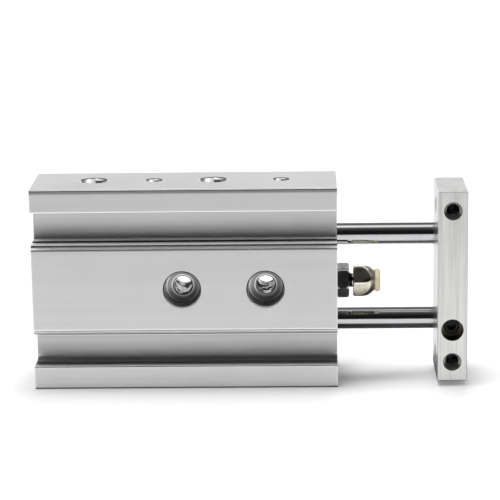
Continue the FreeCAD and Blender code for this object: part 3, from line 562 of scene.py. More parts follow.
def in_holes(tree, xyz, first, second, radius):
    """1 inside a pair of holes that run along Z through two mounts, and 0 outside them."""
    middle = (mounts[first].x + mounts[second].x) / 2
    half = (mounts[second].x - mounts[first].x) / 2
    away = folded(tree, xyz["X"], middle, half)
    return within(tree, length_of(tree, away, maths(tree, "SUBTRACT", xyz["Y"], mounts[first].y)), radius)


tapped = maths(tree, "MAXIMUM",
               in_holes(tree, xyz, "head_port", "rod_port", PORT_MOUTH_RADIUS),
               in_holes(tree, xyz, "side_tap_middle", "side_tap_rod_end", TAP_MOUTH_RADIUS))
bolt_x = folded(tree, xyz["X"], mounts["body_bolts"].x, BOLT_HALF_SPACING)
bored = effect(tree, tool_rings, {
    "Along": xyz["Y"], "Across": bolt_x, "Beside": height, "Pitch": BOLT_RINGS,
})
in_bore = within(tree, bored["Radius"], BOLT_BORE_RADIUS)
in_bolt_hole = within(tree, bored["Radius"], BOLT_HOLE_RADIUS)
on_rim = remap(tree, bored["Radius"], *RIM_RADIUS, 0.0, 1.0)
# Painted shade down the bolt holes: dark, rough patches.
smear = node(tree, "TexNoise", {"Vector": place, "Scale": HOLE_SHADE_SCALE, "Detail": 1.0, "Distortion": 1.6})
hole_shade_patches = all_of(tree, in_bolt_hole, remap(tree, smear.outputs[0], *HOLE_SHADE_RANGE, 0.0, 1.0))

# Colour of the flats, the edges and the top: wear on the edges, a painted highlight along the grooves' lips,
# a painted sheen on the top and a painted highlight along its front edge.
colour = blend_colour(tree, spread(tree, drawn, 0.0, 1.0), ANODISED_DARK, ANODISED_LIGHT)
colour = blend_colour(tree, scaled(tree, marks["Patches"], PATCH_SHARE), colour, ANODISED_DARK)
# A painted highlight along the grooves' lips, joined to the wear on the edges.
off_lip = maths(tree, "ABSOLUTE", folded(tree, height, 0.0, LIP_HEIGHT))
lip_highlight = all_of(tree, remap(tree, off_lip, *LIP_HIGHLIGHT_SPAN, 1.0, 0.0), remap(tree, inwards, *LIP_DEPTH, 1.0, 0.0))
worn = maths(tree, "MAXIMUM", scaled(tree, edges, EDGE_SHARE), lip_highlight)
colour = blend_colour(tree, worn, colour, ANODISED_WEAR_AND_HIGHLIGHT)
# Painted sheen on the top, and a painted highlight along its front edge.
on_top = remap(tree, from_top, *TOP_SKIN, 1.0, 0.0)
colour = blend_colour(tree, on_top, colour, TOP_SHEEN)
top_edge_highlight = all_of(tree, on_top, remap(tree, inwards, *TOP_EDGE_HIGHLIGHT_SPAN, 1.0, 0.0))
colour = blend_colour(tree, top_edge_highlight, colour, (1.0, 1.0, 1.0))

# Painted light and shade on the front's bands and on the grooves' floors and walls: bright and dark lines
# along the edges and down the walls, and floors darker towards their bottoms.
on_front = all_of(tree, remap(tree, inwards, *FRONT_DEPTH, 1.0, 0.0), off_end)
for shades in (PAD_TOP_SHADES, PAD_FOOT_SHADES, FOOT_SHADES, TOP_EDGE_SHADES):
    band = all_of(tree, on_front, height_band(tree, height, shades))
    colour = blend_colour(tree, band, colour, grey_ramp(tree, height, shades, MM))
sunk = all_of(tree, remap(tree, inwards, *GROOVE_START, 0.0, 1.0),
              maths(tree, "LESS_THAN", inwards, GROOVE_FLOOR), off_end)
# Painted shade: the groove floors darker towards their bottoms.
upper_floor = all_of(tree, sunk, maths(tree, "GREATER_THAN", height, 0.0),
                     remap(tree, height, *UPPER_FLOOR_FADE, UPPER_FLOOR_SHARE, 0.0))
colour = blend_colour(tree, upper_floor, colour, GROOVE_PAINTED_SHADE)
lower_floor = all_of(tree, sunk, maths(tree, "LESS_THAN", height, -GROOVE_NEAR))
colour = blend_colour(tree, lower_floor, colour, grey_ramp(tree, height, LOWER_FLOOR_SHADES, MM))
in_groove = all_of(tree, remap(tree, inwards, *WALL_DEPTH, 1.0, 0.0), off_end)
dull = hole_shade_patches
for wall_height, (start, shades) in WALL_SHADES.items():
    wall = all_of(tree, maths(tree, "COMPARE", height, wall_height, WALL_HALF_HEIGHT), in_groove,
                  remap(tree, inwards, *start, 0.0, 1.0))
    colour = blend_colour(tree, wall, colour, grey_ramp(tree, inwards, shades, MM))
    dull = maths(tree, "MAXIMUM", dull, wall)

# Colour of the holes: painted light and shade in the counterbores, with a painted highlight on the rim's
# lower side, painted shade in dark patches down the bolt holes, and the bare metal of the tapped holes.
hole_side = maths(tree, "SIGN", maths(tree, "SUBTRACT", xyz["X"], mounts["body_bolts"].x))
lean_across, lean_up = BORE_LEAN
lean = maths(tree, "MULTIPLY_ADD", maths(tree, "MULTIPLY", bolt_x, hole_side), lean_across,
             scaled(tree, height, lean_up))
leaning = remap(tree, lean, -BORE_LEAN_REACH, BORE_LEAN_REACH, *BORE_LEAN_SHADES)
# Painted highlight on the rim's lower side.
rim_shade = remap(tree, height, *RIM_SPAN, *RIM_SHADES)
leaning = node(tree, "Mix", {0: on_rim, 2: leaning, 3: rim_shade}).outputs[0]
bore_grey = grey_ramp(tree, bored["Radius"], BORE_SHADES, MM)
bore_colour = node(tree, "VectorMath", {0: bore_grey, "Scale": leaning}, operation="SCALE").outputs[0]
bore_colour = blend_colour(tree, hole_shade_patches, bore_colour, HOLE_SHADE_COLOUR)
colour = blend_colour(tree, in_bore, colour, bore_colour)
colour = blend_colour(tree, tapped, colour, TAPPED_METAL)

roughness = spread(tree, drawn, *ANODISED_ROUGHNESS)
polished = maths(tree, "MAXIMUM", in_bolt_hole, all_of(tree, on_rim, in_bore))
for mask, rougher in ((marks["Patches"], PATCH_ROUGHER), (in_bore, BORE_ROUGHER), (polished, -RIM_SMOOTHER),
                      (tapped, -TAPPED_SMOOTHER), (hole_shade_patches, HOLE_SHADE_ROUGHER), (on_end, -END_SMOOTHER)):
    roughness = maths(tree, "MULTIPLY_ADD", mask, rougher, roughness)

# Relief: die lines where no cutter has been, rings where one has, the bore's seats, and drilled walls.
cut = maths(tree, "MAXIMUM", maths(tree, "MAXIMUM", in_bore, tapped), on_end)
die_lines = all_of(tree, drawn, inverted(tree, cut))
milled = effect(tree, tool_rings, {
    "Along": 0.0, "Across": maths(tree, "SUBTRACT", xyz["Y"], MILL_CENTRE[0]),
    "Beside": maths(tree, "SUBTRACT", xyz["Z"], MILL_CENTRE[1]), "Pitch": MILL_PITCH,
})
rings = maths(tree, "ADD", all_of(tree, bored["Height"], in_bore),
              all_of(tree, milled["Height"], scaled(tree, on_end, MILL_SHARE)))
swirl = node(tree, "TexNoise", {"Vector": place, "Scale": SWIRL_SCALE, "Detail": 1.0}).outputs[0]
seats = all_of(tree, swirl, scaled(tree, in_bolt_hole, SWIRL_RISE))
for inner, outer, rise in BORE_FLATS:
    seats = maths(tree, "ADD", seats, node(tree, "MapRange", {
        "Value": bored["Radius"], "From Min": inner, "From Max": outer, "To Min": 0.0, "To Max": rise,
    }).outputs[0])
down_hole = maths(tree, "SUBTRACT", body_half.z, maths(tree, "ABSOLUTE", height))
flank = all_of(tree, scaled(tree, down_hole, FLANK_SLOPE / MM), tapped)
lay_finish(tree, shader, colour, roughness, [
    (die_lines, DIE_LINE_DEPTH), (rings, RING_DEPTH), (flank, MM), (all_of(tree, seats, in_bore), MM),
    (grain, 0.003 * MM), (marks["Scratches"], -0.001 * MM),
])
tree.links.new(maths(tree, "MULTIPLY_ADD", dull, DULL_METALLIC - 1.0, 1.0), shader.inputs["Metallic"])
dress(anodised, "housing")

# ---------------------------------------------------------------------------
# Threads of the ports and tapped holes. The taps cut them after anodising's first clean,
# so each is a helical ridge of the housing's own metal standing in from the drilled wall.
# A ridge is (radius at its root, radius at its crest, pitch, length of thread). In pitches,
# foot and flat are half its widths at the root and the crest, and rise is how soon it is full.
PORT_RIDGE = (2.52 * MM, 2.10 * MM, 0.8 * MM, 4.6 * MM)
TAP_RIDGE = (1.52 * MM, 1.26 * MM, 0.5 * MM, 4.5 * MM)
THREAD_START = 0.10 * MM
RIDGE_STEPS = 30
RIDGE_FOOT = 0.42
RIDGE_FLAT = 0.09
RIDGE_RISE = 0.25
RIDGE_LEAST = 0.05
TAP_METAL = (0.95, 0.95, 0.94)
TAP_METAL_DULL = (0.80, 0.80, 0.79)
# Darker metal for the end plate's tapped holes.
DARK_TAP_METAL = (0.30, 0.30, 0.29)
DARK_TAP_METAL_DULL = (0.14, 0.14, 0.13)
TAP_CHATTER = 0.05 * MM
TAP_STAINS = 1.5 * MM
TAP_ROUGHNESS = (0.16, 0.26)


def helical_ridge(mesh, root, crest, pitch, length, start, axis):
    """Adds one helical ridge to mesh, from root radius to crest radius, set out from start along axis."""
    foot = RIDGE_FOOT * pitch
    flat = RIDGE_FLAT * pitch
    corners = [(root, -foot), (crest, -flat), (crest, flat), (root, foot)]
    fresh = [mesh.verts.new((radius, 0, height + foot)) for radius, height in corners]
    loop = [mesh.edges.new((fresh[i - 1], fresh[i])) for i in range(4)]
    steps = int((length - 2 * foot) / pitch * RIDGE_STEPS)
    before = set(mesh.verts) - set(fresh)
    bmesh.ops.spin(
        mesh, geom=fresh + loop, cent=(0, 0, 0), axis=(0, 0, 1), dvec=(0, 0, pitch / RIDGE_STEPS),
        angle=math.tau * steps / RIDGE_STEPS, steps=steps, use_merge=False, use_duplicate=False)
    added = [vert for vert in mesh.verts if vert not in before]
    open_edges = [edge for edge in mesh.edges if edge.is_boundary]
    bmesh.ops.holes_fill(mesh, edges=open_edges, sides=4)
    for vert in added:
        at = vert.co.z
        share = min(1.0, at / (RIDGE_RISE * pitch), (length - at) / pitch)
        reach = Vector((vert.co.x, vert.co.y)).length
        wanted = root + (reach - root) * max(share, RIDGE_LEAST)
        vert.co.x *= wanted / reach
        vert.co.y *= wanted / reach
    tilt = Vector((0, 0, 1)).rotation_difference(Vector(axis)).to_matrix().to_4x4()
    bmesh.ops.transform(mesh, matrix=Matrix.Translation(start) @ tilt, verts=added)


def finish_piece(mesh, name, made, body):
    """Turns a bmesh into a piece with a finish that rides on a body."""
    bmesh.ops.recalc_face_normals(mesh, faces=mesh.faces)
    data = bpy.data.meshes.new(name)
    mesh.to_mesh(data)
    mesh.free()
    data.materials.append(made)
    piece = bpy.data.objects.new(name, data)
    bpy.context.scene.collection.objects.link(piece)
    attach(piece, body)
    return piece


def thread_finish(name, metallic, light, dull):
    """Metal as a tap leaves it, with fine chatter and a few stains."""
    made, tree, shader, place = new_finish(name, metallic)
    chatter = effect(tree, fine_grain, {"Vector": place, "Size": TAP_CHATTER})["Value"]
    stains = effect(tree, handling, {"Vector": place, "Size": TAP_STAINS})["Patches"]
    colour = blend_colour(tree, stains, light, dull)
    lay_finish(tree, shader, colour, spread(tree, chatter, *TAP_ROUGHNESS), [(chatter, 0.002 * MM)])
    return made


cut_thread = thread_finish("cut_thread", 1.0, TAP_METAL, TAP_METAL_DULL)
dark_thread = thread_finish("dark_thread", 0.8, DARK_TAP_METAL, DARK_TAP_METAL_DULL)

mesh = bmesh.new()
for name in ("head_port", "rod_port"):
    start = Vector((mounts[name].x, mounts[name].y, body_high.z - THREAD_START))
    helical_ridge(mesh, *PORT_RIDGE, start, (0, 0, -1))
finish_piece(mesh, "port_threads", cut_thread, "body")

mesh = bmesh.new()
for name in ("side_tap_middle", "side_tap_rod_end"):
    start = Vector((mounts[name].x, mounts[name].y, body_high.z - THREAD_START))
    helical_ridge(mesh, *TAP_RIDGE, start, (0, 0, -1))
for name in ("lower_side_tap_middle", "lower_side_tap_rod_end"):
    start = Vector((mounts[name].x, mounts[name].y, body_low.z + THREAD_START))
    helical_ridge(mesh, *TAP_RIDGE, start, (0, 0, 1))
finish_piece(mesh, "side_tap_threads", cut_thread, "body")

# ---------------------------------------------------------------------------
# End plate. A bar of aluminium, linished from top to bottom so the belt's scratches run
# upright, with its sharp edges just broken, then clear anodised. Its holes and their threads are darker
# inside.
PLATE_LIGHT = (0.74, 0.74, 0.73)
PLATE_DARK = (0.62, 0.62, 0.61)
PLATE_WORN = (0.82, 0.82, 0.81)
PLATE_ROUGHNESS = (0.36, 0.28)
PLATE_GRAIN = 0.07 * MM
PLATE_PATCHES = 6.0 * MM
PLATE_PATCH_SHARE = 0.2
PLATE_EDGE = 0.28 * MM
PLATE_EDGE_SHARE = 0.4
BELT_LINES = (4300.0, 4300.0, 95.0)
BELT_FINE_SHARE = 0.65
BELT_RANGE = (0.34, 0.64)
BELT_DEPTH = 0.009 * MM
CLAMP_RADIUS = 2.03 * MM
CLAMP_START = (0.04 * MM, 0.10 * MM)
CLAMP_REACH = 3.2 * MM
CLAMP_WALL_DARK = (0.105, 0.100, 0.068)
PLATE_TAP_REACH = 5.0 * MM
PLATE_TAP_DARK = (0.20, 0.20, 0.19)
FACE_TAP_LENGTH = 4.7 * MM
PLATE_SIDE_TAP_LENGTH = 4.1 * MM

plate_middle = (plate_low + plate_high) / 2
clamp_low, clamp_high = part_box("rod_set_screw")
clamp_middle = (clamp_low + clamp_high) / 2
linished, tree, shader, place = new_finish("linished_aluminium", 1.0)
xyz = split(tree, place)
drawn = effect(tree, long_lines, {
    "Vector": place, "Stretch": BELT_LINES, "Fine Share": BELT_FINE_SHARE,
})["Drawn"]
marks = effect(tree, handling, {"Vector": place, "Size": PLATE_PATCHES})
grain = effect(tree, fine_grain, {"Vector": place, "Size": PLATE_GRAIN})["Value"]
edges = effect(tree, edge_band, {
    "Vector": vector_maths(tree, "SUBTRACT", place, plate_middle),
    "Half Size": (plate_high - plate_low) / 2, "Width": PLATE_EDGE,
})["Mask"]
colour = blend_colour(tree, remap(tree, drawn, *BELT_RANGE, 0.0, 1.0), PLATE_DARK, PLATE_LIGHT)
colour = blend_colour(tree, scaled(tree, marks["Patches"], PLATE_PATCH_SHARE), colour, PLATE_DARK)
colour = blend_colour(tree, scaled(tree, edges, PLATE_EDGE_SHARE), colour, PLATE_WORN)


def in_side_hole(tree, xyz, middle, radius, reach):
    """1 inside a hole that runs along Y from the plate's front as far as reach, and 0 outside it."""
    from_axis = length_of(tree, maths(tree, "SUBTRACT", xyz["X"], middle.x),
                          maths(tree, "SUBTRACT", xyz["Z"], middle.z))
    return all_of(tree, within(tree, from_axis, radius),
                  maths(tree, "LESS_THAN", xyz["Y"], plate_low.y + reach))


# The clamp hole's wall is dark olive and the side taps are darker inside.
clamp_near, clamp_far = CLAMP_START
in_clamp = all_of(tree, in_side_hole(tree, xyz, clamp_middle, CLAMP_RADIUS, CLAMP_REACH),
                  remap(tree, xyz["Y"], plate_low.y + clamp_near, plate_low.y + clamp_far, 0.0, 1.0))
colour = blend_colour(tree, in_clamp, colour, CLAMP_WALL_DARK)
for name in ("plate_side_tap_upper", "plate_side_tap_lower"):
    in_tap = in_side_hole(tree, xyz, mounts[name], TAP_MOUTH_RADIUS, PLATE_TAP_REACH)
    colour = blend_colour(tree, in_tap, colour, PLATE_TAP_DARK)
lay_finish(tree, shader, colour, spread(tree, drawn, *PLATE_ROUGHNESS), [
    (drawn, BELT_DEPTH), (grain, 0.003 * MM), (marks["Scratches"], -0.004 * MM),
])
dress(linished, "end_plate")

root, crest, pitch, _ = TAP_RIDGE
tap_half_spacing = (mounts["plate_side_tap_upper"].z - mounts["plate_side_tap_lower"].z) / 2
mesh = bmesh.new()
for side in (-1, 1):
    start = Vector((plate_high.x - THREAD_START, mounts["plate_face_taps"].y,
                    plate_middle.z + side * tap_half_spacing))
    helical_ridge(mesh, root, crest, pitch, FACE_TAP_LENGTH, start, (-1, 0, 0))
for name in ("plate_side_tap_upper", "plate_side_tap_lower"):
    start = Vector((mounts[name].x, plate_low.y + THREAD_START, mounts[name].z))
    helical_ridge(mesh, root, crest, pitch, PLATE_SIDE_TAP_LENGTH, start, (0, 1, 0))
finish_piece(mesh, "plate_tap_threads", dark_thread, "slide_unit")

# ---------------------------------------------------------------------------
# Rods. Carbon steel bar, ground, hard chromed and polished to a mirror, with only the
# faintest grinding lines round it and a thin film of grease in patches.
CHROME = (0.560, 0.565, 0.578)
CHROME_FILM = (0.500, 0.505, 0.520)
CHROME_ROUGHNESS = (0.035, 0.075)
FILM_SIZE = 3.0 * MM
FILM_SHARE = 0.35
FILM_ROUGHER = 0.04
GROUND_LINES = (2600.0, 240.0, 240.0)

mirror, tree, shader, place = new_finish("hard_chrome", 1.0)
ground = effect(tree, long_lines, {"Vector": place, "Stretch": GROUND_LINES, "Fine Share": 1.0})["Drawn"]
film = effect(tree, handling, {"Vector": place, "Size": FILM_SIZE})
colour = blend_colour(tree, scaled(tree, film["Patches"], FILM_SHARE), CHROME, CHROME_FILM)
roughness = spread(tree, ground, *CHROME_ROUGHNESS)
roughness = maths(tree, "MULTIPLY_ADD", film["Patches"], FILM_ROUGHER, roughness)
lay_finish(tree, shader, colour, roughness, [(ground, 0.0008 * MM), (film["Scratches"], -0.0008 * MM)])
dress(mirror, "upper_rod", "lower_rod")

# ---------------------------------------------------------------------------
# Return stop. A black nickelled lock nut, a bright nickelled screw with a domed hexagon
# cap, and a cream urethane button pressed into the cap that meets the end plate. The cap
# has painted shade on its underside, and the screw's shank is painted black between nut and cap.
NUT_DARK = (0.50, 0.495, 0.48)
NUT_LIGHT = (0.80, 0.79, 0.77)
NUT_WORN = (0.88, 0.87, 0.84)
NUT_ROUGHNESS = (0.12, 0.18)
NUT_CORNER = 3.12 * MM
CAP_METAL = (0.66, 0.62, 0.53)
CAP_TARNISH = (0.50, 0.46, 0.375)
CAP_WORN = (0.90, 0.88, 0.83)
CAP_ROUGHNESS = (0.08, 0.13)
CAP_CORNER = 3.14 * MM
# Painted shade on the cap's underside, and how far and how strong it is.
CAP_UNDERSIDE_SHADE = (0.12, 0.108, 0.085)
UNDERSIDE_SHADE_SPAN = (-2.6 * MM, -0.6 * MM)
STAIN_SHARE = 0.85
# Painted shade: the shank black where it shows between the nut and the cap.
SHANK_PAINTED_SHADE = (0.045, 0.044, 0.043)
SHANK_END = 2.8 * MM
PLATING_RINGS = 0.16 * MM
PLATING_PATCHES = 1.2 * MM
PLATING_GRAIN = 0.06 * MM
PATCHES_ROUGHER = 0.05
RUBBED_RANGE = (0.93, 0.985)
RUBBED_SHARE = 0.7

stop_low, stop_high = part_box("stop_bumper")
stop_y = (stop_low.y + stop_high.y) / 2
stop_z = (stop_low.z + stop_high.z) / 2


def hexagon_finish(name, dark, light, worn, corner, roughness, shank_end=None):
    """Plating on a hexagon about the stop's axis, rubbed bright at its corners. If shank_end is given,
    the piece has painted shade: black up to there, where it shows between nut and cap, and darker on its
    underside past it."""
    made, tree, shader, place = new_finish(name, 1.0)
    xyz = split(tree, place)
    above = maths(tree, "SUBTRACT", xyz["Z"], stop_z)
    turned = effect(tree, tool_rings, {
        "Along": xyz["X"], "Across": maths(tree, "SUBTRACT", xyz["Y"], stop_y), "Beside": above,
        "Pitch": PLATING_RINGS,
    })
    marks = effect(tree, handling, {"Vector": place, "Size": PLATING_PATCHES})
    grain = effect(tree, fine_grain, {"Vector": place, "Size": PLATING_GRAIN})["Value"]
    rubbed = remap(tree, turned["Radius"], *(corner * share for share in RUBBED_RANGE), 0.0, RUBBED_SHARE)
    colour = blend_colour(tree, marks["Patches"], light, dark)
    colour = blend_colour(tree, rubbed, colour, worn)
    if shank_end is not None:
        # Painted shade: the cap darker on its underside.
        shaded_underside = all_of(tree, remap(tree, above, *UNDERSIDE_SHADE_SPAN, STAIN_SHARE, 0.0),
                         maths(tree, "GREATER_THAN", xyz["X"], shank_end))
        colour = blend_colour(tree, shaded_underside, colour, CAP_UNDERSIDE_SHADE)
        # Painted shade: the shank black between the nut and the cap.
        colour = blend_colour(tree, within(tree, xyz["X"], shank_end), colour, SHANK_PAINTED_SHADE)
    rough = maths(tree, "MULTIPLY_ADD", marks["Patches"], PATCHES_ROUGHER, spread(tree, grain, *roughness))
    lay_finish(tree, shader, colour, rough, [
        (turned["Height"], 0.0012 * MM), (grain, 0.0006 * MM), (marks["Scratches"], -0.001 * MM),
    ])
    return made


black_nickel = hexagon_finish("black_nickel", NUT_DARK, NUT_LIGHT, NUT_WORN, NUT_CORNER, NUT_ROUGHNESS)
bright_nickel = hexagon_finish(
    "bright_nickel", CAP_TARNISH, CAP_METAL, CAP_WORN, CAP_CORNER, CAP_ROUGHNESS,
    shank_end=body_high.x + SHANK_END)

# Turning and milling. In a profile, a point is (distance out from the housing's end, radius) in
# millimetres. Milling leaves what is nearer the axis than a share of the width across flats.
TURN_STEPS = 120
SHARP_ANGLE = math.radians(28)
MILLED_FROM = 0.4
HEX_FLATS = 5.5


def turned_piece(mesh, profile, corners=0.0, flats=None, ease=None):
    """Turns a profile on the stop's axis. If flats is given, it is milled to a hexagon that wide, with
    its corners turned by an angle and its edges eased."""
    start = math.radians(corners)
    line = [mesh.verts.new((x * MM, -radius * MM * math.cos(start), radius * MM * math.sin(start)))
            for x, radius in profile]
    edges = [mesh.edges.new(pair) for pair in zip(line, line[1:])]
    bmesh.ops.spin(mesh, geom=line + edges, cent=(0, 0, 0), axis=(1, 0, 0), dvec=(0, 0, 0),
                   angle=math.tau, steps=TURN_STEPS, use_merge=True, use_duplicate=False)
    bmesh.ops.remove_doubles(mesh, verts=mesh.verts, dist=1e-7)
    for vert in mesh.verts:
        reach = math.hypot(vert.co.y, vert.co.z)
        if flats is None or reach < MILLED_FROM * flats * MM:
            continue
        turned_by = math.atan2(vert.co.z, -vert.co.y) - start
        from_flat = turned_by % (math.pi / 3) - math.pi / 6
        flat = flats / 2 * MM / math.cos(from_flat)
        blend = max(ease * MM - abs(reach - flat), 0) / (ease * MM)
        wanted = min(reach, flat) - blend * blend * ease * MM / 4
        vert.co.y *= wanted / reach
        vert.co.z *= wanted / reach
    bmesh.ops.translate(mesh, verts=mesh.verts, vec=(body_high.x, stop_y, stop_z))
    bmesh.ops.recalc_face_normals(mesh, faces=mesh.faces)
    for face in mesh.faces:
        face.smooth = True
    for edge in mesh.edges:
        edge.smooth = edge.calc_face_angle(0) < SHARP_ANGLE


# Lock nut: cut from hexagon bar, bored for the screw and turned a little off its corners on both faces.
NUT_CORNERS = -14.0
NUT_EASE = 0.10
NUT_PROFILE = (
    (0.02, 1.75), (0.02, 2.92), (0.10, 3.05), (0.24, 3.16), (0.50, 3.20), (1.10, 3.20), (1.70, 3.20),
    (1.96, 3.16), (2.10, 3.05), (2.18, 2.92), (2.18, 1.75), (2.00, 1.52), (0.20, 1.52), (0.02, 1.75),
)
mesh = bmesh.new()
turned_piece(mesh, NUT_PROFILE, NUT_CORNERS, HEX_FLATS, NUT_EASE)
nut = finish_piece(mesh, "lock_nut_crowned", black_nickel, "body")
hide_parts("stop_lock_nut")

# Stop screw: a plain core under its rolled thread and a domed hexagon cap bored for the bumper's stem.
SCREW_TIP = -7.38
TIP_CHAMFER = 0.3
CAP_CORNERS = 4.9
CAP_EASE = 0.16
SCREW_PROFILE = (
    (SCREW_TIP, 0.0), (SCREW_TIP, 0.95), (SCREW_TIP + TIP_CHAMFER, 1.25), (2.92, 1.25), (2.92, 2.70),
    (3.00, 2.90), (3.14, 3.08), (3.34, 3.18), (3.80, 3.20), (4.20, 3.20), (4.60, 3.17), (5.00, 3.08),
    (5.40, 2.93), (5.80, 2.71), (6.20, 2.44), (6.52, 2.18), (6.78, 1.96), (6.90, 1.84), (6.94, 1.70),
    (6.94, 1.41), (5.36, 1.41), (5.36, 0.0),
)
mesh = bmesh.new()
turned_piece(mesh, SCREW_PROFILE, CAP_CORNERS, HEX_FLATS, CAP_EASE)
cap = finish_piece(mesh, "stop_screw_domed", bright_nickel, "stop_bolt")
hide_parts("stop_screw")

# Bumper: turned urethane rod with eased edges and a stem pressed into the cap.
CREAM = (0.84, 0.765, 0.545)
CREAM_DEEP = (0.78, 0.69, 0.46)
CREAM_ROUGHNESS = (0.38, 0.52)
CREAM_PATCHES = 1.6 * MM
CREAM_PATCH_SHARE = 0.5
CREAM_GRAIN = 0.12 * MM
BUMPER_PROFILE = (
    (5.40, 0.0), (5.40, 1.36), (6.97, 1.36), (6.97, 2.00), (7.02, 2.06), (7.10, 2.08), (7.52, 2.08),
    (7.66, 2.05), (7.77, 1.97), (7.84, 1.86), (7.87, 1.70), (7.87, 0.0),
)

urethane, tree, shader, place = new_finish(
    "cream_urethane", 0.0, Subsurface_Weight=0.12, Subsurface_Scale=0.0006, IOR=1.5, Coat_Roughness=0.3)
marks = effect(tree, handling, {"Vector": place, "Size": CREAM_PATCHES})
grain = effect(tree, fine_grain, {"Vector": place, "Size": CREAM_GRAIN})["Value"]
colour = blend_colour(tree, scaled(tree, marks["Patches"], CREAM_PATCH_SHARE), CREAM, CREAM_DEEP)
lay_finish(tree, shader, colour, spread(tree, grain, *CREAM_ROUGHNESS), [(grain, 0.010 * MM)])

mesh = bmesh.new()
turned_piece(mesh, BUMPER_PROFILE)
button = finish_piece(mesh, "stop_bumper_button", urethane, "stop_pad")
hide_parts("stop_bumper")

# Thread of the stop screw: a rolled M3 ridge from past the tip's chamfer to just short of the cap.
STOP_RIDGE = (1.24 * MM, 1.47 * MM, 0.5 * MM)
RIDGE_END = 2.75 * MM
ridge_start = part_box("stop_screw")[0].x + TIP_CHAMFER * MM
mesh = bmesh.new()
helical_ridge(mesh, *STOP_RIDGE, body_high.x + RIDGE_END - ridge_start,
              Vector((ridge_start, stop_y, stop_z)), (1, 0, 0))
finish_piece(mesh, "stop_screw_thread", bright_nickel, "stop_bolt")

# ---------------------------------------------------------------------------
# Turned parts in the bores: guides, covers, pistons, washers and magnets. Each is turned on
# the bore's axis and keeps the tool's rings. Both bores share one pattern, folded at mid height.
ROD_HALF_SPACING = 8.0 * MM
TURNED_STAINS = 1.5 * MM
TURNED_STAIN_SHARE = 0.4
TURNED_GRAIN = 0.06 * MM

rod_low, rod_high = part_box("upper_rod")
bore_y = (rod_low.y + rod_high.y) / 2


def turned_finish(name, light, dark, roughness, pitch, depth):
    """Metal turned on either bore's axis: rings in its height and colour, and faint stains."""
    made, tree, shader, place = new_finish(name, 1.0)
    xyz = split(tree, place)
    rings = effect(tree, tool_rings, {
        "Along": xyz["X"], "Across": maths(tree, "SUBTRACT", xyz["Y"], bore_y),
        "Beside": folded(tree, xyz["Z"], body_middle.z, ROD_HALF_SPACING), "Pitch": pitch,
    })
    marks = effect(tree, handling, {"Vector": place, "Size": TURNED_STAINS})
    grain = effect(tree, fine_grain, {"Vector": place, "Size": TURNED_GRAIN})["Value"]
    colour = blend_colour(tree, spread(tree, rings["Height"], 0.0, 1.0), light, dark)
    colour = blend_colour(tree, scaled(tree, marks["Patches"], TURNED_STAIN_SHARE), colour, dark)
    lay_finish(tree, shader, colour, spread(tree, rings["Height"], *roughness),
               [(rings["Height"], depth), (grain, 0.002 * MM)])
    return made


turned_cover = turned_finish(
    "turned_cover", light=(0.78, 0.78, 0.77), dark=(0.64, 0.64, 0.63),
    roughness=(0.22, 0.34), pitch=0.14 * MM, depth=0.010 * MM)
turned_piston = turned_finish(
    "turned_piston", light=(0.80, 0.80, 0.79), dark=(0.68, 0.68, 0.67),
    roughness=(0.18, 0.30), pitch=0.12 * MM, depth=0.008 * MM)
bronze = turned_finish(
    "bearing_bronze", light=(0.66, 0.48, 0.26), dark=(0.50, 0.34, 0.17),
    roughness=(0.24, 0.38), pitch=0.12 * MM, depth=0.008 * MM)
plated_steel = turned_finish(
    "plated_steel", light=(0.60, 0.60, 0.61), dark=(0.46, 0.46, 0.47),
    roughness=(0.20, 0.32), pitch=0.18 * MM, depth=0.006 * MM)
magnet_skin = turned_finish(
    "magnet_nickel", light=(0.42, 0.41, 0.39), dark=(0.30, 0.29, 0.28),
    roughness=(0.20, 0.30), pitch=0.30 * MM, depth=0.003 * MM)
spring_steel = turned_finish(
    "spring_steel", light=(0.150, 0.148, 0.150), dark=(0.085, 0.084, 0.086),
    roughness=(0.34, 0.48), pitch=0.40 * MM, depth=0.006 * MM)
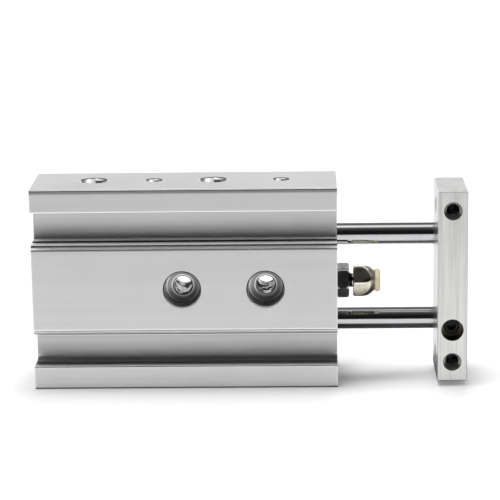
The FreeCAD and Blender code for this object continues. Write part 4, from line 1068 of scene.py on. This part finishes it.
black_oxide = turned_finish(
    "black_oxide", light=(0.030, 0.030, 0.028), dark=(0.016, 0.016, 0.015),
    roughness=(0.26, 0.40), pitch=0.16 * MM, depth=0.006 * MM)

for which in ("upper", "lower"):
    dress(turned_cover, f"{which}_head_cover")
    dress(turned_piston, f"{which}_piston", f"{which}_magnet_retainer")
    dress(bronze, f"{which}_rod_guide")
    dress(plated_steel, f"{which}_seal_washer", f"{which}_piston_screw")
    dress(magnet_skin, f"{which}_magnet")
    dress(spring_steel, f"{which}_rod_end_ring", f"{which}_head_end_ring")
dress(plated_steel, "plate_screw", "head_port_plug", "rod_port_plug")
dress(black_oxide, "rod_set_screw")

# ---------------------------------------------------------------------------
# Seals, O-rings and bumpers. Moulded nitrile and urethane, black, with the mould's fine
# matt skin and a little bloom in patches.
BLOOM_PATCHES = 1.2 * MM
BLOOM_SHARE = 0.6
MOULD_GRAIN = 0.08 * MM
MOULD_DEPTH = 0.008 * MM


def moulded_finish(name, colour, bloom, roughness):
    """Moulded rubber: matt grain and a pale bloom in patches."""
    made, tree, shader, place = new_finish(name, 0.0, IOR=1.5, Specular_IOR_Level=0.4)
    marks = effect(tree, handling, {"Vector": place, "Size": BLOOM_PATCHES})
    grain = effect(tree, fine_grain, {"Vector": place, "Size": MOULD_GRAIN})["Value"]
    shade = blend_colour(tree, scaled(tree, marks["Patches"], BLOOM_SHARE), colour, bloom)
    lay_finish(tree, shader, shade, spread(tree, grain, *roughness), [(grain, MOULD_DEPTH)])
    return made


nitrile = moulded_finish(
    "black_nitrile", colour=(0.020, 0.020, 0.021), bloom=(0.050, 0.050, 0.052), roughness=(0.42, 0.62))
bumper_black = moulded_finish(
    "bumper_urethane", colour=(0.060, 0.060, 0.062), bloom=(0.105, 0.105, 0.108), roughness=(0.40, 0.58))
for which in ("upper", "lower"):
    dress(nitrile, f"{which}_piston_seal", f"{which}_rod_seal")
    dress(nitrile, f"{which}_guide_o_ring", f"{which}_head_o_ring")
    dress(bumper_black, f"{which}_piston_bumper", f"{which}_head_bumper")
